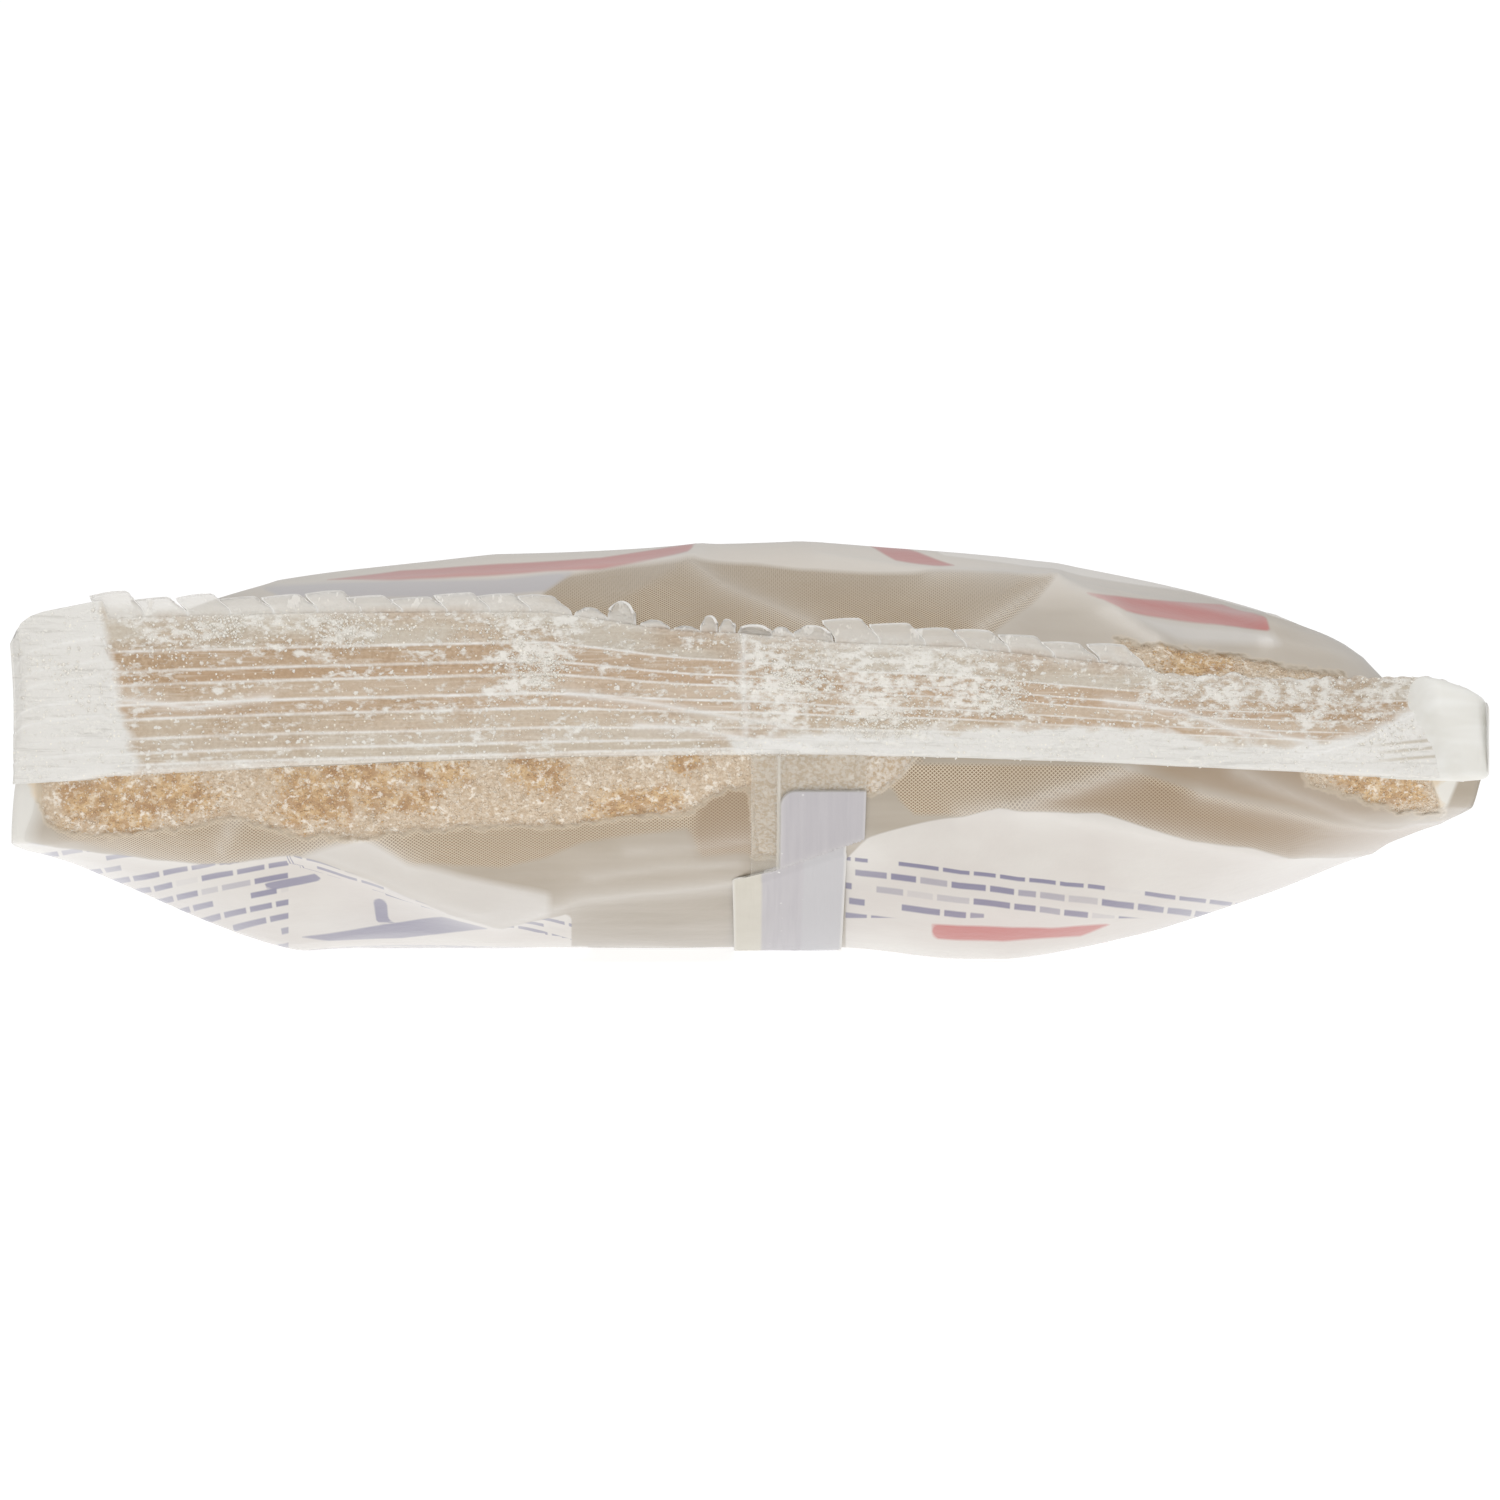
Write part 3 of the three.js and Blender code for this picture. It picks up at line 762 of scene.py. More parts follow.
def filmMaterial():
    r = Recipe("printed_film")
    where = r.place()
    chart = r.chart()

    def inside(name, edge):
        return r.span(r.field(name), -edge, edge)

    def lay(colour, name, ink, edge=film["edge"], strength=1.0):
        share = inside(name, edge)
        if strength < 1:
            share = r.times(share, strength)
        return r.blend(share, colour, ink)

    cloud = r.noise(where, 90, 3)
    streak = r.noise(r.stretch(where, 60, 500, 500), 1)
    fine = r.noise(where, 700, 3)
    height = r.split(where)[2]
    # Painted light: the film is lighter above about 22 to 30 mm, and lighter still near the crown
    upper = r.span(height, 0.022, 0.030)
    plain = r.blend(upper, r.between(cloud, inks["plain"]), r.between(cloud, inks["plainLitUpper"]))
    plain = r.paint(r.span(height, 0.036, 0.041), plain, inks["plainLitTop"])
    # Painted reflection: whitish streaks over the plain film
    plain = r.paint(r.times(streak, 0.35), plain, inks["streak"])

    # Dots of the tinted print, in rows turned by 45 degrees
    dotScale = 1 / (chartScale * film["dotPitch"])
    turned = r.split(r.stretch(chart, dotScale, dotScale, 1, math.radians(45)))
    dot = r.span(r.most(r.fromMiddle(turned[0]), r.fromMiddle(turned[1])), 0.29, 0.37)
    tint = r.between(dot, inks["dot"])
    tint = r.paint(r.times(r.span(cloud, 0.4, 0.65), 0.4), tint, inks["dotCloud"])
    tint = r.paint(r.times(inside("brown", 0.6), 0.6), tint, inks["dotBrown"])

    # Rows of bars of uneven length on the panels
    line = r.field("rowLine")
    at = r.sum("ADD", r.times(r.split(chart)[0], 32), r.times(r.sum("FLOOR", line), 17.3))
    bar = r.node("ShaderNodeTexVoronoi", {"voronoi_dimensions": "1D", "feature": "DISTANCE_TO_EDGE"}, W=at, Scale=1.0)
    tone = r.node("ShaderNodeTexVoronoi", {"voronoi_dimensions": "1D"}, W=at, Scale=1.0)
    bars = r.times(
        r.span(r.fromMiddle(line), 0.26, 0.16),
        r.span(bar.outputs["Distance"], 0.05, 0.09),
        r.span(r.split(tone.outputs["Color"])[0], 0.1, 0.35, 0, 0.85),    # some bars are faint or left out
        r.span(r.field("rows"), 0, 0.1),
    )
    panel = r.between(r.span(cloud, 0.35, 0.65), inks["panel"])
    # Painted light: the panels are lighter on the upper side
    panel = r.paint(upper, panel, inks["panelLitUpper"])
    panel = r.paint(bars, panel, inks["bar"])

    colour = lay(plain, "tan", r.between(streak, inks["tan"]))
    colour = lay(colour, "brown", linear(*inks["brown"]), 0.8, 0.8)
    colour = lay(colour, "dotted", tint, 0.25)
    colour = lay(colour, "milky", linear(*inks["milky"]), 0.4, 0.75)
    colour = lay(colour, "cream", panel)
    colour = lay(colour, "lilac", linear(*inks["lilac"]), 0.2, 0.8)
    colour = lay(colour, "blue", linear(*inks["blue"]), strength=0.9)
    colour = lay(colour, "red", r.between(r.span(height, 0.008, 0.014), inks["red"]), 0.12, 0.92)
    # Painted highlight along the sharp folds, which also makes the film there more opaque
    colour = r.paint(r.times(r.field("crease"), 0.45), colour, inks["crease"])
    colour = lay(colour, "ear", linear(*inks["ear"]), 1.0)
    colour = lay(colour, "tip", linear(*inks["tip"]), 0.2)

    # Clear film is hazy, and has a ragged edge except where it is milky
    torn = r.span(r.field("milky"), -0.4, 0.4, 1.6, 0.2)
    ragged = r.sum("ADD", r.field("clear"), r.sway(fine, torn))
    grainy = r.between(r.span(r.noise(where, 2600, 2, 0.6), 0.4, 0.6), inks["grainHaze"])
    hazy = r.blend(inside("milky", 0.4), linear(*inks["haze"]), grainy)
    colour = r.blend(r.span(ragged, -0.5, 0.1), colour, hazy)

    alpha = r.span(ragged, -0.3, 0.3, 0.9, 0.12)
    for name, begins, full, opaque in covers:
        alpha = r.most(alpha, r.span(r.field(name), begins, full, 0.0, opaque))
    alpha = r.most(alpha, r.times(r.field("crease"), 0.5))
    material = r.finish(colour, alpha, 0.3, fine, 0.0002, 0.25)
    r.shader.inputs["IOR"].default_value = 1.5
    r.shader.inputs["Coat Weight"].default_value = 0.4
    r.shader.inputs["Coat Roughness"].default_value = 0.15
    return material


filmPiece.data.materials.append(filmMaterial())
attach(filmPiece, "root")
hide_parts("breadcrumb_bag")


crumbs = {
    "underFilm": 0.26,
    "heap": 0.06,
    "creaseGap": 0.014,    # share of the width by which the filling ends short of the side creases
    # Toasted patches at the near end: x, z and reach, as seen
    "toastSpots": [(-64, 17, 6), (-57.5, 17.5, 4), (-44.5, 17, 5), (-40, 19.5, 4), (-37.5, 17, 2.5), (-32.5, 20, 3.5),
                   (-33.5, 17, 2.8), (-21.5, 19.5, 3.2), (-12.8, 16.5, 3.6), (-8.5, 16.8, 2), (-6.5, 20.7, 2),
                   (46, 31.5, 4), (62, 19, 3), (66, 17.8, 3)],
    "grainCells": 3300,
    "shades": ((228, 214, 195), (203, 182, 156), (178, 149, 117)),    # pale, darker, and the painted shade between the grains
    "toasted": ((220, 186, 136), (184, 142, 94)),
    "burnt": (158, 112, 64),
    "floury": (240, 224, 198),
    "tan": (200, 168, 128),
    "fleck": (254, 248, 238),
}


def crumbCore():
    x, y = smoothFilm[..., 0], smoothFilm[..., 1]
    depth = np.minimum(crumbs["underFilm"], 0.35 * filmRoom)
    tucked = columnU * (1 - crumbs["creaseGap"] * smooth(0.9, 1, np.abs(columnU)))
    inner = filmPoints(tucked, filmRows, columnFront)
    inner = inner + outward * (np.clip(relief, -0.2, 0.3) - depth)[..., None]
    heap = waves(x * 1.5, (runLength + 300 * frontMask) * 1.5, 21, 0.7, 2.2) * crumbs["heap"]
    heap = heap * smooth(0.5, 4, filmRoom)
    inner += outward * np.minimum(heap, crumbs["heap"])[..., None]
    inner[..., 2] = np.maximum(inner[..., 2], 0.15)
    toast = np.zeros(x.shape)
    for spotX, spotZ, reach in crumbs["toastSpots"]:
        upperSide = spotZ > frontAbove
        near = np.exp(-((seenX - spotX) ** 2 + (1.6 * (seenZ - spotZ)) ** 2) / reach ** 2)
        toast = np.maximum(toast, near * (onNearShoulder & (frontMask == upperSide)))
    toast = toast + 0.5 * smooth(0.9, 1.8, waves(x * 0.25, y * 0.25 + 30 * frontMask, 23, 0.6, 1.8)) * ~onNearShoulder
    return inner, toast


corePoints, toast = crumbCore()
corePiece = sheetPiece("crumb_filling", corePoints, fields={"toast": toast}, closed=True)
closeTube(corePiece)


def crumbMaterial(name, low, high, paintedGapShade):
    r = Recipe(name)
    where = r.place()
    grain = r.cells(where, crumbs["grainCells"])
    fine = r.noise(where, 1400, 3, 0.6)
    colour = r.between(r.split(grain["Color"])[0], (low, high))
    if name == "crumb_filling":
        uneven = r.sway(r.noise(where, 330, 3), 1.6)
        clusters = r.noise(where, 1000, 2.5)
        toasted = r.between(r.span(r.noise(where, 480), 0.4, 0.6), crumbs["toasted"])
        toasted = r.paint(r.span(clusters, 0.54, 0.64, 0, 0.7), toasted, crumbs["burnt"])
        toasted = r.paint(r.span(clusters, 0.46, 0.38, 0, 0.7), toasted, crumbs["floury"])
        colour = r.paint(r.span(clusters, 0.56, 0.66, 0, 0.35), colour, crumbs["tan"])
        colour = r.blend(r.span(r.sum("ADD", r.field("toast"), uneven), 0.3, 0.6, 0, 0.9), colour, toasted)
    # Painted shade in the gaps between the grains
    colour = r.paint(r.span(grain["Distance"], 0.42, 0.75, 0, 0.35), colour, paintedGapShade)
    colour = r.paint(r.span(fine, 0.56, 0.66, 0, 0.8), colour, crumbs["fleck"])
    bump = r.sum("SUBTRACT", r.times(fine, 0.6), grain["Distance"])
    return r.finish(colour, None, 0.85, bump, 0.0002, 0.5)


corePiece.data.materials.append(crumbMaterial("crumb_filling", *crumbs["shades"]))
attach(corePiece, "root")
print("filling made:", len(corePiece.data.polygons), "faces")


# Loose grains: one uneven block is modelled and copied to many places in one mesh
def scatter(name, places, sizes, seed, variants=5):
    draw = np.random.default_rng(seed)
    bpy.ops.mesh.primitive_cube_add(size=1)
    pattern = bpy.context.object
    inEditMode(pattern, lambda: bpy.ops.mesh.quads_convert_to_tris())
    corners = np.array([v.co[:] for v in pattern.data.vertices])
    faces = np.array([f.vertices[:] for f in pattern.data.polygons])
    bpy.data.objects.remove(pattern)
    shapes = corners[None] * draw.uniform(0.55, 1.2, (variants, len(corners), 3))
    turn = draw.normal(size=(len(places), 4))
    turn /= np.linalg.norm(turn, axis=1, keepdims=True)
    w, a, b, c = turn.T
    matrix = np.stack([
        1 - 2 * (b * b + c * c), 2 * (a * b - c * w), 2 * (a * c + b * w),
        2 * (a * b + c * w), 1 - 2 * (a * a + c * c), 2 * (b * c - a * w),
        2 * (a * c - b * w), 2 * (b * c + a * w), 1 - 2 * (a * a + b * b)], -1).reshape(-1, 3, 3)
    grain = shapes[draw.integers(0, variants, len(places))] * sizes[:, None, None]
    points = np.einsum("nij,nkj->nki", matrix, grain) + places[:, None, :]
    points[..., 0] += shiftX
    mesh = bpy.data.meshes.new(name)
    index = faces[None] + (np.arange(len(places)) * len(corners))[:, None, None]
    mesh.vertices.add(points.shape[0] * points.shape[1])
    mesh.vertices.foreach_set("co", (points * mm).ravel())
    mesh.loops.add(index.size)
    mesh.loops.foreach_set("vertex_index", index.ravel())
    mesh.polygons.add(index.size // 3)
    mesh.polygons.foreach_set("loop_start", np.arange(0, index.size, 3))
    mesh.update(calc_edges=True)
    piece = bpy.data.objects.new(name, mesh)
    bpy.context.collection.objects.link(piece)
    return piece


# Random places on a grid of points where a weight is above 0
def spread(points, weight, count, seed):
    draw = np.random.default_rng(seed)
    a = points[:-1, :-1]
    across = points[:-1, 1:] - a
    along = points[1:, :-1] - a
    area = np.linalg.norm(np.cross(across, along), axis=-1) * np.clip(weight[:-1, :-1], 0, None)
    chosen = draw.choice(area.size, count, p=(area / area.sum()).ravel())
    row, column = np.unravel_index(chosen, area.shape)
    s, t = draw.random((2, count, 1))
    return a[row, column] + across[row, column] * s + along[row, column] * t, row, column


# Kinds of loose grains: how many, least and most size, seed, and shades as those of the filling, the last a painted
# shade between grains
looseKinds = {
    "pale_crumbs": (11000, (0.10, 0.28), 31, ((244, 233, 217), (224, 205, 180), (198, 170, 136))),
    "toasted_crumbs": (2600, (0.12, 0.32), 32, ((232, 202, 156), (208, 166, 114), (180, 136, 88))),
    "window_crumbs": (11000, (0.35, 0.9), 33, ((248, 234, 208), (228, 200, 160), (200, 160, 114))),
}


def looseCrumbs():
    clear = fieldValues["clear"]
    nearClear = smooth(-0.3, 0.2, clear) * (onNearShoulder & (np.abs(columnU) < 0.955))
    weights = {
        "pale_crumbs": nearClear * np.clip(1.1 - 1.2 * toast, 0.16, 1),
        "toasted_crumbs": nearClear * np.clip(toast - 0.15, 0, 1),
        "window_crumbs": smooth(-0.5, 0.2, clear) * ~onNearShoulder,
    }
    made = []
    for name, (count, size, seed, shades) in looseKinds.items():
        places, row, column = spread(corePoints, weights[name], count, seed)
        draw = np.random.default_rng(seed + 100)
        places = places + outward[row, column] * draw.uniform(-0.10, 0.04, (count, 1))
        sizes = draw.uniform(*size, count) * draw.uniform(0.6, 1, count)
        sunk = 0.8 * np.maximum(sizes - 0.3, 0)    # larger grains stay under the film
        places = places - outward[row, column] * sunk[:, None]
        piece = scatter(name, places, sizes, seed + 200)
        piece.data.materials.append(crumbMaterial(name, *shades))
        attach(piece, "root")
        made.append(piece)
    return made


loose = looseCrumbs()
print("loose crumbs made:", [len(piece.data.polygons) for piece in loose])


band = {
    "columns": 430,
    "rows": 90,
    "face": 0.75,          # how far its face lies off the fold line
    "thickness": 0.28,
    "ridgeHeight": 0.18,
    "ridgeWidth": 0.014,
    "hemCurl": 1.3,
    "fade": (8, 34),       # the crimps grow weaker between these, to the right
    "edge": [(-75, 32.8), (-74.8, 34.0), (-74.3, 34.9), (-73.4, 35.6), (-72, 36.1), (-69, 36.7), (-66.0, 37.3),
             (-65.4, 35.4), (-45, 36.0), (-21, 36.2), (-15.1, 35.4), (-10.7, 34.7), (-6.3, 34.2), (-1.2, 34.0),
             (4, 33.6), (8.7, 33.0), (21, 32.6), (31.8, 31.4), (40.8, 30.4), (42.2, 29.6), (56, 29.2), (68, 29.4),
             (70, 29.0), (73, 28.0)],
    # Crimped ridges: share of the height, and how strong each is in relief and in its painted white highlight; then the
    # colours of the strips between them
    "ridges": [(0.075, 0.55), (0.145, 0.75), (0.235, 0.4), (0.355, 0.7), (0.445, 1.0), (0.565, 0.4), (0.65, 0.5),
               (0.775, 0.85)],
    "strips": [(222, 217, 208), (206, 194, 176), (207, 195, 178), (203, 187, 166), (195, 170, 143), (202, 182, 159),
               (190, 161, 131), (193, 168, 141), (206, 197, 182)],
    "pleats": [
        (0.30, [(-18.8, 27.8), (-10.7, 26.8), (-1.2, 25.2), (4, 24.4)]),
        (0.28, [(-11.7, 24.5), (-6.3, 24.2), (0.1, 23.0), (6, 22.4)]),
        (0.30, [(36.3, 27.0), (43.7, 26.0), (48.6, 24.3), (57.2, 22.7)]),
        (0.28, [(43.7, 26.0), (50.5, 23.4)]),
        (0.35, [(55.9, 21.1), (61.6, 22.7), (67.3, 25.6)]),
        (0.40, [(-0.7, 34.2), (-0.9, 29), (-0.5, 25), (-0.6, 22.3)]),
        (0.25, [(-64.6, 27.2), (-57.0, 26.3), (-49.0, 27.3)]),
    ],
    "slits": [[(62.0, 22.3), (70.2, 23.1)], [(63.8, 21.7), (70.2, 22.3)], [(62.6, 20.8), (70.2, 21.4)]],
    "frosted": [
        [(-80, 40), (-66.2, 40), (-65.7, 33.6), (-64.7, 30.5), (-63.9, 26.8), (-62.9, 23.1), (-62.2, 19), (-80, 10)],
        [(-2.0, 23.0), (8, 23.9), (25, 24.2), (33.8, 24.4), (42.3, 24.0), (48.8, 22.7), (54.4, 22.3), (59.5, 23.2),
         (63.8, 24.4), (67.0, 26.2), (67.6, 28.3), (68, 31), (80, 31), (80, 12), (-2.0, 15)],
    ],
    "dusty": [
        [(-26, 36), (-18, 35.5), (-18.5, 31), (-22, 27), (-26, 27)],
        [(-1, 33), (12, 33), (28, 31), (26, 26), (14, 24), (-1, 25)],
        [(40, 30), (67, 29.6), (66, 26), (56, 25.5), (40, 27)],
        [(-62, 35), (-40, 35.6), (-40, 33.5), (-62, 33)],
    ],
}


def sealTop(x):
    drop, start, finish = seal["firstDrop"]
    secondDrop, secondStart, secondFinish = seal["secondDrop"]
    return seal["top"] - drop * smooth(start, finish, x) - secondDrop * smooth(secondStart, secondFinish, x)


# The edge that the tabs stand on, a little below the solid's
def bandTop(x):
    at, height = zip(*band["edge"])
    return np.interp(x, at, height)


def shoulderBehind(x, z):
    opening = (z - sealRoot(x)) / (fullTop(np.clip(x / bag["sealHalf"], -1, 1)) - sealRoot(x))
    opening = np.clip(opening, 0, 0.98)
    folds = np.maximum(foldRise(frontFolds, x, z), foldRise(frontFolds, -x, z))
    proud = 0.7 * np.minimum(1, 5.6 * opening * (1 - opening)) * folds + 0.5 * smooth(0.1, 0.5, opening)
    return shoulderDepth(opening) - proud


def sealLean(x, z):
    leaning = mix(seal["leftLean"], seal["rightLean"], smooth(seal["restsFrom"], seal["restsTo"], x))
    leaning = leaning * (1 - 0.75 * smooth(58, 70, x))
    straight = leaning * (z - sealRoot(x)) / (sealTop(x) - sealRoot(x))
    return np.maximum(0, np.minimum(shoulderBehind(x, z), straight))


def sealPoints(x, rise, outwards, end):
    z = mix(sealRoot(x) - seal["hem"], bandTop(x), rise)
    return np.stack([x + 0 * z, end * (bag["bodyHalf"] - sealLean(x, z) - seal["bite"] + outwards), z], -1)


def bandRelief(x, z, rise, end):
    height = z - sealRoot(x) + seal["hem"]
    level = rise + 0.015 * waves(x * 0.09, rise * 5, 41 + end, 0.5, 1.6)
    relief = np.zeros(z.shape)
    for at, white in band["ridges"]:
        unevenRidge = 0.3 + 0.7 * smooth(-0.7, 0.5, waves(x * 0.09, at * 60, 43, 0.6, 1.6))
        relief += band["ridgeHeight"] * (0.4 + 0.6 * white) * unevenRidge * np.exp(-((level - at) / band["ridgeWidth"]) ** 2)
    relief *= 1 - 0.6 * smooth(*band["fade"], x)
    # Pleats stand proud, and also carry a painted highlight along them
    crease = np.zeros(z.shape)
    for pleatHeight, pleat in band["pleats"]:
        near = np.exp(-lineDistance(x, z, pleat) / 0.32)
        relief += pleatHeight * near
        crease = np.maximum(crease, near)
    relief += 0.10 * (1 - np.abs(waves(x * 0.5, height * 0.9, 45 + end, 0.6, 1.7)))
    slit = np.zeros(z.shape)
    for gapLine in band["slits"]:
        slit = np.maximum(slit, smooth(0.24, 0.05, lineDistance(x, z, gapLine)))
    slit = 0.55 * slit * smooth(62, 67, x) * smooth(70.6, 69.4, x)
    return relief - 0.15 * slit, crease, slit, level


# Sheets of the far end run the other way, so that their faces point outwards too
def facing(end, points, chart, fields):
    if end > 0:
        points, chart = points[:, ::-1], chart[:, ::-1]
        fields = {key: value[:, ::-1] for key, value in fields.items()}
    return points, chart, fields


def makeSeal(name, end):
    x = np.linspace(-bag["sealHalf"], bag["sealHalf"] - 2.5, band["columns"])[None, :]
    rise = np.linspace(0, 1, band["rows"])[:, None]
    z = mix(sealRoot(x) - seal["hem"], bandTop(x), rise)
    z += 0.3 * np.abs(waves(x * 1.2, 0, 47, 0.6, 2)) * smooth(40, 44, x) * smooth(0.9, 1, rise)
    relief, crease, slit, level = bandRelief(x, z, rise, end)
    curl = band["hemCurl"] * (1 - np.clip(rise / 0.055, 0, 1)) ** 2 * smooth(-71, -64, x)
    points = sealPoints(x, rise, band["face"] + relief - curl, end)
    points[..., 2] = z
    side = smooth(bag["sealHalf"] - 5, bag["sealHalf"], np.abs(x))
    points[..., 0] -= np.sign(x) * 0.35 * np.sin(rise * math.pi) * side
    frost, dust = (insideAny(x + 0 * z, z, band[kind]) for kind in ("frosted", "dusty"))
    crisp = 1 - 0.85 * smooth(*band["fade"], x) + 0 * z
    fields = {"line": crease, "slit": slit, "rise": level, "frost": frost, "dust": dust, "crisp": crisp, "tab": 0 * z}
    chart = np.stack([x + 0 * z, z], -1) * chartScale
    points, chart, fields = facing(end, points, chart, fields)
    piece = sheetPiece(name, points, chart=chart, fields=fields)
    return piece, points, fields


tabs = {
    "foot": 0.9,
    "columns": 15,
    "rows": 9,
    "wall": -65.3,    # the first tab stands beside the taller left end of the band, whose edge ends here
    "lean": (1.1, 1.4),
    # Start, pitch, how many, height
    "even": [(-66.0, 4.35, 11, 2.6), (8.7, 4.5, 7, 2.5)],
    # Start, width, height
    "curled": [(-18.0, 3.2, 1.3), (-14.6, 2.9, 2.5), (-11.2, 3.0, 0.7), (-7.9, 2.6, 0.6), (-5.2, 1.8, 1.9),
               (-3.3, 1.7, 1.5), (-1.2, 3.3, 0.9), (2.1, 2.4, 1.1), (4.5, 3.9, 1.6)],
}


# The tabs of the toothed cut edge, each a small curled sheet
def makeTabs(name, end):
    draw = np.random.default_rng(51 + end)
    made = []
    wanted = [(start + k * pitch, pitch, height * (1 - 0.03 * k), 0.0)
              for start, pitch, count, height in tabs["even"] for k in range(count)]
    wanted += [(start, width, height, 1.0) for start, width, height in tabs["curled"]]
    for start, width, height, loose in wanted:
        height = height * draw.uniform(0.78, 1.1)
        start, width = start - draw.uniform(0, 0.25), width * draw.uniform(1.0, 1.07)
        u = 0.5 - 0.5 * np.cos(np.linspace(0, math.pi, tabs["columns"]))[None, :]
        v = np.linspace(-tabs["foot"] / height, 1, tabs["rows"])[:, None]
        up = np.clip(v, 0, 1)
        x = start + width * (0.5 + (u - 0.5) * (1 - 0.3 * loose * up ** 2))
        notch = 0.26 * smooth(0.84, 1, u) + 0.14 * (1 - u) - 0.06 * np.sin(u * math.pi) * draw.uniform(0.3, 1.4)
        corner = 0.5 * loose * np.abs(2 * u - 1) ** 3 + (1 - loose) * notch
        base = sealPoints(np.maximum(x, tabs["wall"]), 1.0 + 0 * x, band["face"] - 0.1, end)
        x = x - mix(*tabs["lean"], draw.random()) * smooth(0.1, 1, v) * (1 - loose)
        base[..., 0] = x
        curl = (draw.uniform(-0.4, 0.9) * up ** 2 + 0.35 * (u - 0.3) * up) * (0.6 + 1.2 * loose)
        base[..., 1] += end * (curl - 0.35 * up * height)
        base[..., 2] += height * v * (1 - corner * up)
        edge = np.minimum(np.minimum(u, 1 - u) * width, (1 - v) * height)
        nothing = 0 * edge
        fields = {"line": smooth(0.28, 0.04, edge), "slit": nothing, "rise": nothing + 1,
                  "frost": nothing + farOutside, "dust": nothing + farOutside, "crisp": nothing,
                  "tab": 0.5 + 0.5 * up + nothing}
        chart = np.stack([x, base[..., 2]], -1) * chartScale
        base, chart, fields = facing(end, base, chart, fields)
        made.append(sheetPiece(f"{name}_tab", base, chart=chart, fields=fields))
    return made


def thicken(piece, thickness):
    bpy.ops.object.select_all(action="DESELECT")
    piece.select_set(True)
    bpy.context.view_layer.objects.active = piece
    wall = piece.modifiers.new("wall", "SOLIDIFY")
    wall.thickness = thickness * mm
    wall.offset = -1
    bpy.ops.object.modifier_apply(modifier="wall")


sealShades = {
    "hem": (236, 233, 227),
    "aboveHem": (228, 223, 215),
    # painted highlight on the crimped ridges
    "ridge": (240, 237, 231),
    "underEdge": (206, 196, 180),
    "edge": (226, 222, 214),
    "brown": ((174, 143, 109), (195, 168, 138)),
    "specks": (160, 132, 100),
    "streak": (230, 222, 209),
    "tab": (234, 230, 223),
    "frost": ((233, 231, 226), (204, 201, 194)),    # and the painted greyish shade of its crimps
    # painted highlight along the pleats and ridges, also used on the tab rims
    "crease": (242, 240, 236),
    "slit": (176, 160, 132),
    "dust": (240, 237, 230),
    "grain": (250, 245, 233),
}


def rampStop(at, shade, white=0):
    return at, linear(*shade)[:3] + (white,)


# Colours across the band from the hem up: each strip, then the painted highlight of a ridge, whose whiteness is the
# alpha
def bandStops():
    half = band["ridgeWidth"]
    stops = [rampStop(0.045, sealShades["aboveHem"])]
    for (at, strength), below, above in zip(band["ridges"], band["strips"], band["strips"][1:]):
        stops.append(rampStop(at - half, below))
        stops.append(rampStop(at, sealShades["ridge"], strength))
        stops.append(rampStop(at + half, above))
    return stops + [rampStop(0.93, sealShades["underEdge"])]


